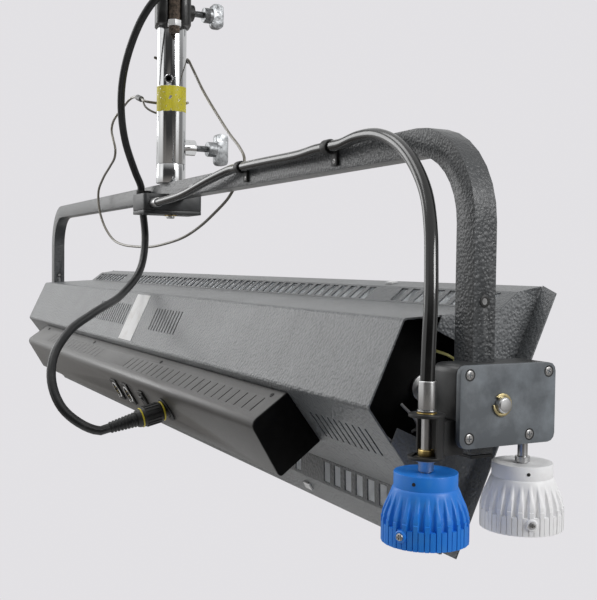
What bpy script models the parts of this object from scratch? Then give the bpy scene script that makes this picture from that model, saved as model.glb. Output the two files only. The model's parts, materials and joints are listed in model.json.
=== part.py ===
"""A four-foot LED soft light in its yoke, hung from a tube hanger and worked from the floor with two cups.

Units are metres, +Z is up, X runs along the light and the light points to +Y and down. The origin is the
middle of the hanger's flat top. One cup pans the yoke through a flexible shaft, the other tilts the head.
"""
import math

import bmesh
import bpy
from mathutils import Matrix, Vector

# Clearances
GAP = 0.0003                # between pieces that seat on each other
RUN = 0.0003                # round a shaft that turns in a bore
TINY = 0.000001
PAST = 0.01                 # how far a cutter runs beyond what it cuts
CUT_LONG = 0.2              # a cutter that runs right through

# Hanger
PLATE_SIZE = (0.070, 0.050)
PLATE_THICK = 0.008
NECK_R = 0.015
CASTING_TURN = math.radians(-13.5)
CASTING_R = 0.024
CASTING_TOP = -0.072
CASTING_BOTTOM = -0.1304
CHEEK_ROUND = 0.0105
NECK_SINK = 0.004           # of the neck into the casting
CHEEK_REACH = 0.032         # from the tube's axis to the front of the cheeks
SLOT_WIDTH = 0.0195
SLOT_FLOOR = 0.0209         # from the tube's axis to the back of the slot
SOCKET_DEPTH = 0.048
ROD_R = 0.0078
ROD_OUT = 0.0312            # from the tube's axis to the rod's axis
ROD_HEAD_R = 0.0127
ROD_HEAD = 0.004
NUT_TOP = -0.1273
NUT_ACROSS = 0.0175
NUT_HEIGHT = 0.0080
BOLT_R = 0.0074
BOLT_END = 0.0085
SLEEVE_R = 0.0205
SLEEVE_WALL = 0.003
SLEEVE_SHOWS = 0.1896
COLLAR_HEIGHT = 0.0272
SPIGOT_LENGTH = 0.070
SET_SCREW_DROP = 0.0738     # below the casting
SET_SCREW_R = 0.004

# Clamp knobs
KNOB_STEM_R = 0.00435
KNOB_COLLAR_R = 0.0105
UPPER_KNOB_Z = -0.106
UPPER_BOSS_R = 0.0115
UPPER_BOSS_OUT = 0.0305
UPPER_STEM_SHOWS = 0.0162
UPPER_COLLAR = 0.011
UPPER_WING = (0.0178, 0.034)
LOWER_KNOB_UP = 0.0250      # above the sleeve's lower end
LOWER_BOSS_R = 0.011
LOWER_BOSS_OUT = 0.0346
LOWER_STEM_SHOWS = 0.0194
LOWER_COLLAR = 0.0115
LOWER_WING = (0.0191, 0.045)
WING_THICK = 0.012
WING_ROUND = 0.006
KNOB_SINK = 0.002           # of one part of a knob into the next

# Yoke
YOKE_WIDTH = 1.400
TUBE_W = 0.0226
TUBE_D = 0.0206
TUBE_WALL = 0.002
CORNER_R = 0.079
TILT_DROP = 0.2123          # from the bar's top to the tilt axis
RIGHT_LEG_BELOW = 0.0405    # below the tilt axis
LEFT_LEG_BELOW = 0.0255
CROSS_HOLE_DROP = 0.1377    # below the bar's top
CROSS_HOLE_R = 0.00325
PLUG_CAP = 0.0025
PLUG_STEM = 0.012

# Worm gears, shared by the pan unit and the tilt unit
WORM_CENTRES = 0.034
WHEEL_R = 0.02385
WHEEL_WIDTH = 0.007
WORM_LENGTH = 0.034
WORM_STUB = 0.004           # of the shaft beyond the worm
SPINDLE_R = 0.006
INPUT_R = 0.00385
CLIP_R = 0.0085
CLIP_THICK = 0.0012
CLIP_MOUTH = 0.001          # how far a clip's mouth stops short of the spindle's axis
CASE_WALL = 0.0022
COVER_THICK = 0.005
CASE_ROUND = 0.0065

# Pan unit
PAN_WIDTH = 0.053
PAN_ROUND = 0.004
PAN_FRONT = -0.0473
PAN_BACK = 0.0367
PAN_DEPTH = 0.0225          # of the case, without its cover
SADDLE = 0.0063             # how far the case reaches up beside the bar
PAN_WORM_DROP = 0.0132      # of the worm's axis below the case's top

# Tilt unit
TILT_GRIP = 0.012           # how far the case reaches back beside the leg
TILT_INNER = YOKE_WIDTH / 2 - TILT_GRIP
TILT_DEPTH = 0.0287
TILT_FRONT = -0.0373
TILT_BACK = 0.0512
TILT_ABOVE = 0.0295
TILT_BELOW = 0.0305
NOTCH_WIDE = 0.0098
NOTCH_HIGH = 0.020

# Cups and their shafts
BLUE_OUT = 0.022            # from the tilt case's inner face
BLUE_AXIS = (TILT_INNER + BLUE_OUT, -0.0577)
BLUE_TOP = -0.6055
WHITE_TOP = -0.6070
CUP_HEIGHT = 0.0495
CUP_COLLAR_R = 0.023
CUP_COLLAR_H = 0.010
CUP_R = 0.0315
CUP_STEP = 0.030
CUP_FLARE = (0.2, 0.62, 0.85)   # shares of the flare, at three depths
CUP_INNER_FLARE = 0.3
CUP_EDGE = 0.001
CUP_SHOULDER = 0.002
CUP_BAND_STEP = 0.003
CUP_INNER_DROP = 0.004
CUP_WALL = 0.003
CUP_TOP_THICK = 0.0045
CUP_HUB_R = 0.009
CUP_HUB_LENGTH = 0.024
TAB_R = 0.01325
TAB_THICK = 0.0022
LUG_WIDE = 0.018
TOP_TAB = -0.5640
BOTTOM_TAB = -0.5942
BUSH_WALL = 0.0012
TOP_BUSH_RISE = 0.0012
BOTTOM_BUSH_RISE = 0.0045
TOP_BUSH_FLANGE = 0.002
BOTTOM_BUSH_FLANGE = 0.0005
TOP_RING_R = 0.0069
BOTTOM_RING_R = 0.0085
FERRULE_R = 0.0064
FERRULE_LENGTH = 0.0205
FERRULE_GRIP = 0.010
FERRULE_EDGE = 0.0005
PALE_COLLAR_R = 0.0057
PALE_COLLAR = 0.004         # of the tilt shaft's collar above its cup

# Cords
SHEATH_R = 0.00525
LEAD_R = 0.00525
WIRE_R = 0.0019
WIRE_SLACK = 0.0012         # between a loop and the sleeve
UPPER_HOOK_Z = -0.171
LOWER_HOOK_Z = -0.232
UPPER_HOOK = range(150, -30, -30)      # degrees round the sleeve, from its back
LOWER_HOOK = range(110, 210, 25)
CLIP_WALL = 0.0015
CLIP_WIDTH = 0.010
CLIP_FOOT = 0.019           # of a sheath clip's foot below the bar's top
CLIP_SINK = 0.001           # of its foot into its ring
COIL_PITCH = 0.0111
COIL_LAYER = 0.0113
COIL_INNER_R = 0.0445
COIL_LOOPS = 4.5
COIL_TAIL = ((0.012, 0.001), (0.023, 0.005), (0.033, 0.011), (0.042, 0.018))
COIL_Z = -0.0425
COIL_START = math.radians(110.0)
LOOP_POINTS = 24
STRAP = 0.0016

# Head: section points are (n, w), with n forward along the light's axis and w across it
TILT_DOWN = math.radians(25.0)
PIVOT_OFF_MIDDLE = 0.001
SHEET = 0.0015
BEND_R = 0.004
BACK_DEPTH = -0.0565
BACK_HALF = 0.0383
FOLD = (0.027, 0.0833)
VENT_EDGE = (0.038, 0.105)
LIP_EDGE = (0.0595, 0.120)
HEAD_CLEAR = 0.0124         # between the end flanges and the yoke's legs
SLOT_PITCH = 0.020
SLOT_WIDE = 0.0125
SLOT_LEAVE = 0.0025
VENT_GAPS = (-0.430, 0.450)
VENT_END_LEAVE = 0.0172     # plain sheet beyond the last vent slot
SLIT = 0.003
SLIT_PITCH = 0.0105
BACK_SLITS = ((-0.190, 15), (0.075, 10))
BACK_SLIT_REACH = (-0.013, 0.018)
SIDE_SLIT_LEAVE = 0.0292    # from the sheet's end to the last slit
SIDE_SLITS = 10
SIDE_SLIT_REACH = (0.027, 0.056)
END_FRONT = 0.0585
FLANGE_OUT = 0.019
HALF_LENGTH = YOKE_WIDTH / 2 - TUBE_W - HEAD_CLEAR - FLANGE_OUT - SHEET - GAP
FLANGE_UP = 0.1205
FLANGE_TIP_UP = 0.1142
FLANGE_DOWN = 0.1178
NOTCH_HALF = 0.1086
END_REAR = -0.025
OPENING_HALF = 0.042
OPENING_FRONT = 0.012
CAP_INSET = 0.0247
CAP_THICK = 0.003
REFLECTOR = ((0.036, 0.084), (-0.040, 0.033))
REFLECTOR_THICK = 0.001
BOARD_HALF = 0.030
BOARD_THICK = 0.0016
DIFFUSER_FRONT = 0.0390
DIFFUSER_THICK = 0.002
LOUVRE_GAP = 0.001
LOUVRE_DEPTH = 0.014
LOUVRE_BLADE = 0.0012
LOUVRE_CELLS = (16, 3)
PIVOT_FLANGE_R = 0.011
PIVOT_FLANGE = 0.003
LEFT_PIN_R = 0.005
LEFT_NUT = 0.004            # its height, and how far it stands out round the pin
SPINDLE_PROUD = 0.005

# Driver box: section points are (s, t), s from the back panel's lower edge along the lower side, t outward
BOX_HALF = 0.4955
BOX_ALONG = (0.0079, 0.0068, 0.0662)
BOX_PROUD = (0.0452, 0.0516)
BOX_ROUND = 0.008
BOX_CAP = 0.0025
FACE_DROP = 0.030              # sockets' middle, from the box's upper edge down its back face
DATA_SOCKET_X = (0.035, 0.085)
SOCKET_FLANGE = (0.026, 0.031)
FLANGE_THICK = 0.0022
SOCKET_R = 0.0115
SOCKET_LENGTH = 0.020
SOCKET_FACE_R = 0.0095
SWITCH_X = 0.150
SWITCH_SIZE = (0.019, 0.027)
SWITCH_BEZEL = 0.003
SWITCH_PROUD = 0.0025
ROCKER_SIZE = (0.0095, 0.017)
ROCKER_THICK = 0.005
ROCKER_TILT = math.radians(9.0)
INLET_X = 0.2316
INLET_R = 0.0150
INLET_PIN_R = 0.001
PLUG_DROOP = math.radians(14.0)
PLUG_BODY_R = 0.0125
PLUG_NOSE_R = 0.0085
PLUG_LENGTH = 0.070
PLUG_GLAND_R = 0.0085
DRIVER_SIZE = (0.300, 0.044, 0.030)
DRIVER_X = -0.290

# Worked out from the sizes above
SLEEVE_END = CASTING_BOTTOM - SLEEVE_SHOWS
BAR_TOP = SLEEVE_END - COLLAR_HEIGHT
BAR_BOTTOM = BAR_TOP - TUBE_W
LEG_X = YOKE_WIDTH / 2 - TUBE_W / 2
TILT_Z = BAR_TOP - TILT_DROP
WORM_R = WORM_CENTRES - WHEEL_R - GAP
PAN_TOP = BAR_BOTTOM + SADDLE
PAN_COVER_TOP = PAN_TOP - PAN_DEPTH
PAN_BOTTOM = PAN_COVER_TOP - COVER_THICK
PAN_WORM_Z = PAN_TOP - PAN_WORM_DROP
TILT_COVER_X = TILT_INNER + TILT_DEPTH
TILT_OUTER = TILT_COVER_X + COVER_THICK
TILT_CAVITY_X = YOKE_WIDTH / 2 + GAP + CASE_WALL
TILT_WORM_X = TILT_CAVITY_X + GAP + WHEEL_WIDTH / 2
SPIGOT_R = SLEEVE_R - SLEEVE_WALL - RUN
CAP_X = HALF_LENGTH - CAP_INSET
VENT_END = HALF_LENGTH - VENT_END_LEAVE
SIDE_SLIT_LAST = HALF_LENGTH - SIDE_SLIT_LEAVE
HUB_BORE_R = INPUT_R + GAP

COLOURS = {
    "cast_black": ((0.030, 0.032, 0.036), 0.55, 0.2),
    "bright_steel": ((0.62, 0.62, 0.62), 0.25, 1.0),
    "chrome": ((0.75, 0.75, 0.76), 0.12, 1.0),
    "brass": ((0.60, 0.45, 0.18), 0.35, 1.0),
    "yoke_paint": ((0.040, 0.042, 0.046), 0.45, 0.3),
    "cover_paint": ((0.045, 0.047, 0.052), 0.42, 0.3),
    "gear_plastic": ((0.035, 0.037, 0.042), 0.50, 0.0),
    "black_plastic": ((0.015, 0.015, 0.016), 0.45, 0.0),
    "blue_plastic": ((0.020, 0.170, 0.560), 0.40, 0.0),
    "white_plastic": ((0.75, 0.75, 0.76), 0.40, 0.0),
    "cord_rubber": ((0.020, 0.020, 0.022), 0.45, 0.0),
    "wire_sleeve": ((0.36, 0.35, 0.32), 0.50, 0.0),
    "diffuser": ((0.85, 0.85, 0.83), 0.60, 0.0),
    "reflector": ((0.80, 0.80, 0.80), 0.30, 0.6),
    "board": ((0.80, 0.82, 0.78), 0.50, 0.0),
}


# Scene and helpers

for old in list(bpy.data.objects):
    bpy.data.objects.remove(old)

PARTS = bpy.data.collections.new("led_soft_light")
CUTTERS = bpy.data.collections.new("cutters")
bpy.context.scene.collection.children.link(PARTS)
bpy.context.scene.collection.children.link(CUTTERS)

ALONG_X = Matrix(((0, 0, 1, 0), (1, 0, 0, 0), (0, 1, 0, 0), (0, 0, 0, 1)))
ALONG_Y = Matrix(((0, 1, 0, 0), (0, 0, 1, 0), (1, 0, 0, 0), (0, 0, 0, 1)))


def material(name):
    """The named finish, made once."""
    found = bpy.data.materials.get(name)
    if found:
        return found
    colour, roughness, metallic = COLOURS[name]
    made = bpy.data.materials.new(name)
    made.use_nodes = True
    shader = made.node_tree.nodes["Principled BSDF"]
    shader.inputs["Base Color"].default_value = (*colour, 1.0)
    shader.inputs["Roughness"].default_value = roughness
    shader.inputs["Metallic"].default_value = metallic
    return made


def at(x, y, z):
    """A shift as a matrix."""
    return Matrix.Translation((x, y, z))


def frame(origin, side, up, out):
    """A matrix whose axes are the three given directions."""
    columns = [Vector(side).to_4d(), Vector(up).to_4d(), Vector(out).to_4d(), Vector(origin).to_4d()]
    for column in columns[:3]:
        column.w = 0.0
    return Matrix(columns).transposed()


def put(name, data, finish, where=None, parent=None):
    """Links an object to the parts, at a place in its parent's frame."""
    made = bpy.data.objects.new(name, data)
    PARTS.objects.link(made)
    made.parent = parent
    if where is not None:
        made.matrix_basis = where
    made.data.materials.append(material(finish))
    return made


def soften(mesh):
    """Smooth shading on round faces, sharp edges elsewhere."""
    mesh.shade_smooth()
    mesh.set_sharp_from_angle(angle=math.radians(35.0))


def block(name, size, finish, where=None, parent=None):
    """A box round its own origin."""
    mesh = bpy.data.meshes.new(name)
    work = bmesh.new()
    bmesh.ops.create_cube(work, size=1.0)
    bmesh.ops.scale(work, vec=size, verts=work.verts)
    work.to_mesh(mesh)
    work.free()
    return put(name, mesh, finish, where, parent)


def rod(name, radius, start, end, finish, where=None, parent=None, sides=18):
    """A cylinder along its own Z from start to end."""
    mesh = bpy.data.meshes.new(name)
    work = bmesh.new()
    bmesh.ops.create_cone(work, cap_ends=True, segments=sides, radius1=radius, radius2=radius,
                          depth=end - start, matrix=at(0, 0, (start + end) / 2))
    work.to_mesh(mesh)
    work.free()
    soften(mesh)
    return put(name, mesh, finish, where, parent)


def turned(name, profile, finish, where=None, parent=None, steps=20):
    """A profile of (radius, height) points turned about Z, closed on itself unless it starts on the axis."""
    mesh = bpy.data.meshes.new(name)
    edges = [(i, i + 1) for i in range(len(profile) - 1)]
    if profile[0][0] > 0.0:
        edges.append((len(profile) - 1, 0))
    mesh.from_pydata([(radius, 0.0, height) for radius, height in profile], edges, [])
    made = put(name, mesh, finish, where, parent)
    screw = made.modifiers.new("turn", "SCREW")
    screw.steps = steps
    screw.render_steps = steps
    screw.use_merge_vertices = True
    screw.merge_threshold = 0.00001
    screw.use_smooth_shade = True
    return made


def as_mesh(curve_object):
    """The same piece as a closed mesh object, with its caps welded."""
    bpy.context.view_layer.update()
    name = curve_object.name
    evaluated = curve_object.evaluated_get(bpy.context.evaluated_depsgraph_get())
    mesh = bpy.data.meshes.new_from_object(evaluated)
    work = bmesh.new()
    work.from_mesh(mesh)
    bmesh.ops.remove_doubles(work, verts=work.verts, dist=0.00001)
    work.to_mesh(mesh)
    work.free()
    soften(mesh)
    made = bpy.data.objects.new(name, mesh)
    PARTS.objects.link(made)
    made.parent = curve_object.parent
    made.matrix_basis = curve_object.matrix_basis
    bpy.data.objects.remove(curve_object)
    made.name = name
    return made


def flat(name, outlines, thick, finish, where=None, parent=None):
    """A flat piece of the given outlines, the first solid and the others holes, from Z 0 up to thick."""
    curve = bpy.data.curves.new(name, "CURVE")
    curve.dimensions = "2D"
    curve.fill_mode = "BOTH"
    curve.extrude = thick / 2
    for outline in outlines:
        spline = curve.splines.new("POLY")
        spline.points.add(len(outline) - 1)
        for point, (a, b) in zip(spline.points, outline):
            point.co = (a, b, 0.0, 1.0)
        spline.use_cyclic_u = True
    place = (where or Matrix()) @ at(0, 0, thick / 2)
    return as_mesh(put(name, curve, finish, place, parent))


def tube(name, points, radius, finish, parent=None, sides=8):
    """A round cord or wire through the points, with closed ends."""
    curve = bpy.data.curves.new(name, "CURVE")
    curve.dimensions = "3D"
    curve.bevel_depth = radius
    curve.bevel_resolution = (sides - 4) // 2
    curve.use_fill_caps = True
    spline = curve.splines.new("POLY")
    spline.points.add(len(points) - 1)
    for point, place in zip(spline.points, points):
        point.co = (*place, 1.0)
    return put(name, curve, finish, None, parent)


def folded(name, section, length, thick, finish, where=None, parent=None):
    """A folded sheet: an open section in Y and Z, run along X, and made thick on its inner side."""
    mesh = bpy.data.meshes.new(name)
    near = [(-length / 2, n, w) for n, w in section]
    far = [(length / 2, n, w) for n, w in section]
    count = len(section)
    faces = [(i, i + 1, count + i + 1, count + i) for i in range(count - 1)]
    mesh.from_pydata(near + far, [], faces)
    made = put(name, mesh, finish, where, parent)
    solid = made.modifiers.new("thickness", "SOLIDIFY")
    solid.thickness = thick
    solid.offset = -1.0
    solid.use_even_offset = True
    return made


def tool(made):
    """Takes an object out of the parts: it only shapes another piece."""
    PARTS.objects.unlink(made)
    CUTTERS.objects.link(made)
    made.hide_render = True
    made.display_type = "WIRE"
    return made


def shape(target, other, operation):
    """Adds one Boolean to the target."""
    change = target.modifiers.new(operation.lower(), "BOOLEAN")
    change.operation = operation
    change.solver = "EXACT"
    change.object = tool(other)
    return target


def cut(target, *others):
    """Takes the other solids away from the target."""
    for other in others:
        shape(target, other, "DIFFERENCE")
    return target


def join(target, *others):
    """Makes the other solids part of the target."""
    for other in others:
        shape(target, other, "UNION")
    return target


def rounded(corners, radius, steps=3):
    """The corners of an outline, each replaced by an arc."""
    points = []
    radii = radius if isinstance(radius, (list, tuple)) else [radius] * len(corners)
    for i, corner in enumerate(corners):
        here = Vector(corner)
        to_last = (Vector(corners[i - 1]) - here).normalized()
        to_next = (Vector(corners[(i + 1) % len(corners)]) - here).normalized()
        if radii[i] == 0.0:
            points.append(tuple(here))
            continue
        half = to_last.angle(to_next) / 2
        middle = here + (to_last + to_next).normalized() * (radii[i] / math.sin(half))
        start = here + to_last * (radii[i] / math.tan(half)) - middle
        end = here + to_next * (radii[i] / math.tan(half)) - middle
        sweep = start.angle_signed(end)
        for k in range(steps + 1):
            turn = Matrix.Rotation(-sweep * k / steps, 2)
            points.append(tuple(middle + turn @ start))
    return points


def rectangle(left, right, low, high):
    """Four corners, anticlockwise."""
    return [(left, low), (right, low), (right, high), (left, high)]


def circle(radius, x=0.0, y=0.0, sides=16):
    """A round outline."""
    return [(x + radius * math.cos(2 * math.pi * k / sides), y + radius * math.sin(2 * math.pi * k / sides))
            for k in range(sides)]


def inset(corners, distance):
    """An anticlockwise outline moved inward by a distance."""
    moved = []
    for i, corner in enumerate(corners):
        here = Vector(corner)
        before = (here - Vector(corners[i - 1])).normalized()
        after = (Vector(corners[(i + 1) % len(corners)]) - here).normalized()
        left_before = Vector((-before.y, before.x))
        left_after = Vector((-after.y, after.x))
        inward = (left_before + left_after).normalized()
        moved.append(tuple(here + inward * (distance / inward.dot(left_after))))
    return moved


def smooth_route(corners, spacing):
    """Even points on a smooth curve through a cord's route; its first and last runs stay straight."""
    route = [Vector(corner) for corner in corners]
    fine = [route[1]]
    for p0, p1, p2, p3 in zip(route, route[1:], route[2:], route[3:]):
        k0, k1, k2 = ((p1 - p0).length ** 0.5, (p2 - p1).length ** 0.5, (p3 - p2).length ** 0.5)
        slope1 = (p1 - p0) / k0 - (p2 - p0) / (k0 + k1) + (p2 - p1) / k1
        slope2 = (p2 - p1) / k1 - (p3 - p1) / (k1 + k2) + (p3 - p2) / k2
        for step in range(1, 25):
            t = step / 24
            curve = (2 * t ** 3 - 3 * t ** 2 + 1) * p1 + (t ** 3 - 2 * t ** 2 + t) * k1 * slope1
            curve += (3 * t ** 2 - 2 * t ** 3) * p2 + (t ** 3 - t ** 2) * k1 * slope2
            fine.append(curve)
    lengths = [0.0]
    for a, b in zip(fine, fine[1:]):
        lengths.append(lengths[-1] + (b - a).length)
    count = max(2, round(lengths[-1] / spacing))
    points = []
    index = 0
    for k in range(count + 1):
        wanted = lengths[-1] * k / count
        while index < len(lengths) - 2 and lengths[index + 1] < wanted:
            index += 1
        part = (wanted - lengths[index]) / max(lengths[index + 1] - lengths[index], TINY)
        points.append(fine[index].lerp(fine[index + 1], part))
    return [route[0]] + points + [route[-1]]


def pivot(name, place, turn=0.0):
    """An empty on a joint's axis, which carries the pieces that move with it."""
    made = bpy.data.objects.new(name, None)
    PARTS.objects.link(made)
    made.location = place
    made.rotation_euler = (turn, 0.0, 0.0)
    bpy.context.view_layer.update()
    return made


# Hanger

CASTING_FRAME = Matrix.Rotation(CASTING_TURN, 4, "Z")


def casting_point(out, across, z):
    """A place given in the casting's own directions: out through its slot, and across."""
    return CASTING_FRAME @ Vector((out, across, z))


def hanger_casting():
    """The split clamp casting: plate and neck above, two cheeks with a slot, the socket for the sleeve."""
    body = rod("hanger_casting", CASTING_R, CASTING_BOTTOM, CASTING_TOP, "cast_black", sides=28)
    corners = rectangle(0.0, CHEEK_REACH, -CASTING_R, CASTING_R)
    cheeks = flat("cheeks", [rounded(corners, [0, CHEEK_ROUND, CHEEK_ROUND, 0])],
                  CASTING_TOP - CASTING_BOTTOM, "cast_black", CASTING_FRAME @ at(0, 0, CASTING_BOTTOM))
    neck = rod("neck", NECK_R, CASTING_TOP - NECK_SINK, -PLATE_THICK / 2, "cast_black")
    plate = block("plate", (*PLATE_SIZE, PLATE_THICK), "cast_black",
                  CASTING_FRAME @ at(0, 0, -PLATE_THICK / 2))
    boss = rod("boss", UPPER_BOSS_R, SLEEVE_R, UPPER_BOSS_OUT, "cast_black",
               at(0, 0, UPPER_KNOB_Z) @ ALONG_Y)
    socket = rod("socket", SLEEVE_R + GAP, CASTING_BOTTOM - PAST, CASTING_BOTTOM + SOCKET_DEPTH + GAP,
                 "cast_black", sides=28)
    slot_out = CHEEK_REACH + PAST
    slot = block("slot", (slot_out - SLOT_FLOOR, SLOT_WIDTH, CUT_LONG), "cast_black",
                 CASTING_FRAME @ at((slot_out + SLOT_FLOOR) / 2, 0, CASTING_BOTTOM))
    stem = rod("stem", KNOB_STEM_R + GAP, 0.0, UPPER_BOSS_OUT + PAST, "cast_black",
               at(0, 0, UPPER_KNOB_Z) @ ALONG_Y)
    join(body, cheeks, neck, plate, boss)
    cut(body, socket, slot, stem)


def clamp_bolt():
    """The upright bolt between the cheeks, with its nut."""
    place = CASTING_FRAME @ at(ROD_OUT, 0, 0)
    seat = CASTING_TOP + GAP
    bolt = rod("clamp_bolt", ROD_R, NUT_TOP - NUT_HEIGHT / 2, seat + ROD_HEAD / 2, "bright_steel", place,
               sides=20)
    nut = rod("nut", NUT_ACROSS / math.sqrt(3), NUT_TOP - NUT_HEIGHT, NUT_TOP, "bright_steel",
              place @ Matrix.Rotation(math.radians(30.0), 4, "Z"), sides=6)
    end = rod("end", BOLT_R, NUT_TOP - NUT_HEIGHT - BOLT_END, NUT_TOP, "bright_steel", place, sides=20)
    head = rod("head", ROD_HEAD_R, seat, seat + ROD_HEAD, "bright_steel", place, sides=24)
    join(bolt, nut, end, head)


def pole_sleeve():
    """The chromed tube, with the boss for the lower knob."""
    sleeve = rod("pole_sleeve", SLEEVE_R, SLEEVE_END, CASTING_BOTTOM + SOCKET_DEPTH, "chrome", sides=28)
    knob_z = SLEEVE_END + LOWER_KNOB_UP
    boss = rod("boss", LOWER_BOSS_R, SPIGOT_R, LOWER_BOSS_OUT, "chrome", at(0, 0, knob_z) @ ALONG_Y)
    bore = rod("bore", SLEEVE_R - SLEEVE_WALL, SLEEVE_END - PAST, 0.0, "chrome", sides=28)
    stem = rod("stem", KNOB_STEM_R + GAP, 0.0, LOWER_BOSS_OUT + PAST, "chrome", at(0, 0, knob_z) @ ALONG_Y)
    turn = Matrix.Rotation(math.radians(-30.0), 4, "Z")
    hole = rod("hole", SET_SCREW_R, 0.0, SLEEVE_R + PAST, "chrome",
               at(0, 0, CASTING_BOTTOM - SET_SCREW_DROP) @ turn @ ALONG_X, sides=12)
    join(sleeve, boss)
    cut(sleeve, bore, stem, hole)


def tee_knob(name, z, tip, boss_out, stem_shows, collar, wing):
    """A clamp screw: stem, collar and a wing across its end, turning on Y."""
    axis = pivot(name + "_axis", (0.0, 0.0, z))
    depth, span = wing
    collar_y = boss_out + stem_shows
    wing_y = collar_y + collar
    stem = rod(name, KNOB_STEM_R, tip, collar_y + KNOB_SINK, "bright_steel", ALONG_Y, axis, sides=16)
    ring = rod("ring", KNOB_COLLAR_R, collar_y, wing_y + KNOB_SINK, "bright_steel", ALONG_Y, axis)
    handle = flat("wing", [rounded(rectangle(-span / 2, span / 2, 0.0, depth), WING_ROUND)], WING_THICK,
                  "bright_steel", frame((-WING_THICK / 2, wing_y, 0), (0, 0, -1), (0, 1, 0), (1, 0, 0)), axis)
    join(stem, ring, handle)


def pan_spindle():
    """The yoke's pivot: a spigot in the sleeve, the stub collar, and the shaft down through the bar."""
    end = PAN_BOTTOM - SPINDLE_PROUD
    spigot_top = SLEEVE_END + SPIGOT_LENGTH
    collar_top = SLEEVE_END - GAP
    turned("pan_spindle", [(0, spigot_top), (SPIGOT_R, spigot_top), (SPIGOT_R, collar_top),
                           (SLEEVE_R, collar_top), (SLEEVE_R, BAR_TOP + GAP), (SPINDLE_R, BAR_TOP + GAP),
                           (SPINDLE_R, end + 0.001), (SPINDLE_R - 0.001, end), (0, end)], "chrome", steps=24)


def worm_wheel(name, where, parent=None):
    """A worm wheel's blank, keyed on its spindle."""
    half = WHEEL_WIDTH / 2
    bore = SPINDLE_R + RUN
    turned(name, [(bore, half), (WHEEL_R, half), (WHEEL_R, -half), (bore, -half)], "brass", where, parent)


def spindle_clip(name, where, parent=None):
    """The retaining clip on a spindle's end."""
    ring = circle(CLIP_R)
    bore = circle(SPINDLE_R + RUN)
    clip = flat(name, [ring, bore], CLIP_THICK, "brass", where, parent)
    mouth = block("mouth", (CLIP_R * 2, SPINDLE_R, PAST), "brass", where @ at(-CLIP_R - CLIP_MOUTH, 0, 0),
                  parent)
    cut(clip, mouth)


# Yoke

def yoke_tube():
    """One square tube bent to a U, its legs hollow down to their ends, with holes for what passes through."""
    def arch(wall):
        half = YOKE_WIDTH / 2 - wall
        top = BAR_TOP - wall
        inner = half - TUBE_W + 2 * wall
        low = BAR_BOTTOM + wall
        drop_right = TILT_Z - RIGHT_LEG_BELOW - wall
        drop_left = TILT_Z - LEFT_LEG_BELOW - wall
        corners = [(-half, drop_left), (-inner, drop_left), (-inner, low), (inner, low),
                   (inner, drop_right), (half, drop_right), (half, top), (-half, top)]
        outside = CORNER_R - wall
        inside = CORNER_R - TUBE_W + wall
        return rounded(corners, [0, 0, inside, inside, 0, 0, outside, outside], steps=8)

    across = frame((0, TUBE_D / 2, 0), (1, 0, 0), (0, 0, 1), (0, -1, 0))
    hollow_at = frame((0, TUBE_D / 2 - TUBE_WALL, 0), (1, 0, 0), (0, 0, 1), (0, -1, 0))
    yoke = flat("yoke_tube", [arch(0.0)], TUBE_D, "yoke_paint", across)
    hollow = flat("hollow", [arch(TUBE_WALL)], TUBE_D - 2 * TUBE_WALL, "yoke_paint", hollow_at)
    leg = LEG_X
    for_holes = [
        rod("spindle_hole", SPINDLE_R + RUN, BAR_BOTTOM - PAST, BAR_TOP + PAST, "yoke_paint"),
        rod("tilt_hole", SPINDLE_R + RUN, leg - TUBE_W, leg + TUBE_W, "yoke_paint",
            at(0, 0, TILT_Z) @ ALONG_X),
        rod("left_hole", LEFT_PIN_R + RUN, -leg - TUBE_W, -leg + TUBE_W, "yoke_paint",
            at(0, 0, TILT_Z) @ ALONG_X),
    ]
    for side in (-1, 1):
        middle = side * leg
        for_holes.append(rod("cross_hole", CROSS_HOLE_R, middle - TUBE_W, middle + TUBE_W, "yoke_paint",
                             at(0, 0, BAR_TOP - CROSS_HOLE_DROP) @ ALONG_X, sides=12))
    cut(yoke, hollow, *for_holes)


def leg_plug(name, x, bottom):
    """The plastic plug in a leg's end."""
    cap = block(name, (TUBE_W, TUBE_D, PLUG_CAP), "black_plastic", at(x, 0, bottom - GAP - PLUG_CAP / 2))
    inside = (TUBE_W - 2 * TUBE_WALL - 2 * GAP, TUBE_D - 2 * TUBE_WALL - 2 * GAP, PLUG_STEM + PLUG_CAP)
    stem = block("stem", inside, "black_plastic", at(x, 0, bottom - GAP + (PLUG_STEM - PLUG_CAP) / 2))
    join(cap, stem)


# Pan unit, under the bar

def pan_case():
    """The pan gear's casing: it straddles the bar, and opens downward."""
    outline = rounded(rectangle(-PAN_WIDTH / 2, PAN_WIDTH / 2, PAN_FRONT, PAN_BACK), PAN_ROUND)
    case = flat("pan_case", [outline], PAN_DEPTH - GAP, "gear_plastic", at(0, 0, PAN_COVER_TOP + GAP))
    saddle = block("saddle", (PAN_WIDTH * 2, TUBE_D + 2 * GAP, 2 * PAST), "gear_plastic",
                   at(0, 0, BAR_BOTTOM - GAP + PAST))
    wheel_top = BAR_BOTTOM - GAP - CASE_WALL
    wheel_room = rod("wheel_room", WHEEL_R + 2 * GAP, PAN_BOTTOM, wheel_top, "gear_plastic", sides=28)
    room_top = PAN_WORM_Z + WORM_R + 2 * GAP
    room_high = room_top - PAN_BOTTOM
    worm_room = block("worm_room", (PAN_WIDTH - 2 * CASE_WALL, 2 * WORM_R + 4 * GAP, room_high),
                      "gear_plastic", at(0, -WORM_CENTRES, room_top - room_high / 2))
    shaft = rod("shaft", INPUT_R + RUN, 0.0, PAN_WIDTH, "gear_plastic",
                at(0, -WORM_CENTRES, PAN_WORM_Z) @ ALONG_X)
    spindle = rod("spindle", SPINDLE_R + RUN, PAN_BOTTOM, PAN_TOP, "gear_plastic")
    cut(case, saddle, wheel_room, worm_room, shaft, spindle)


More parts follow.
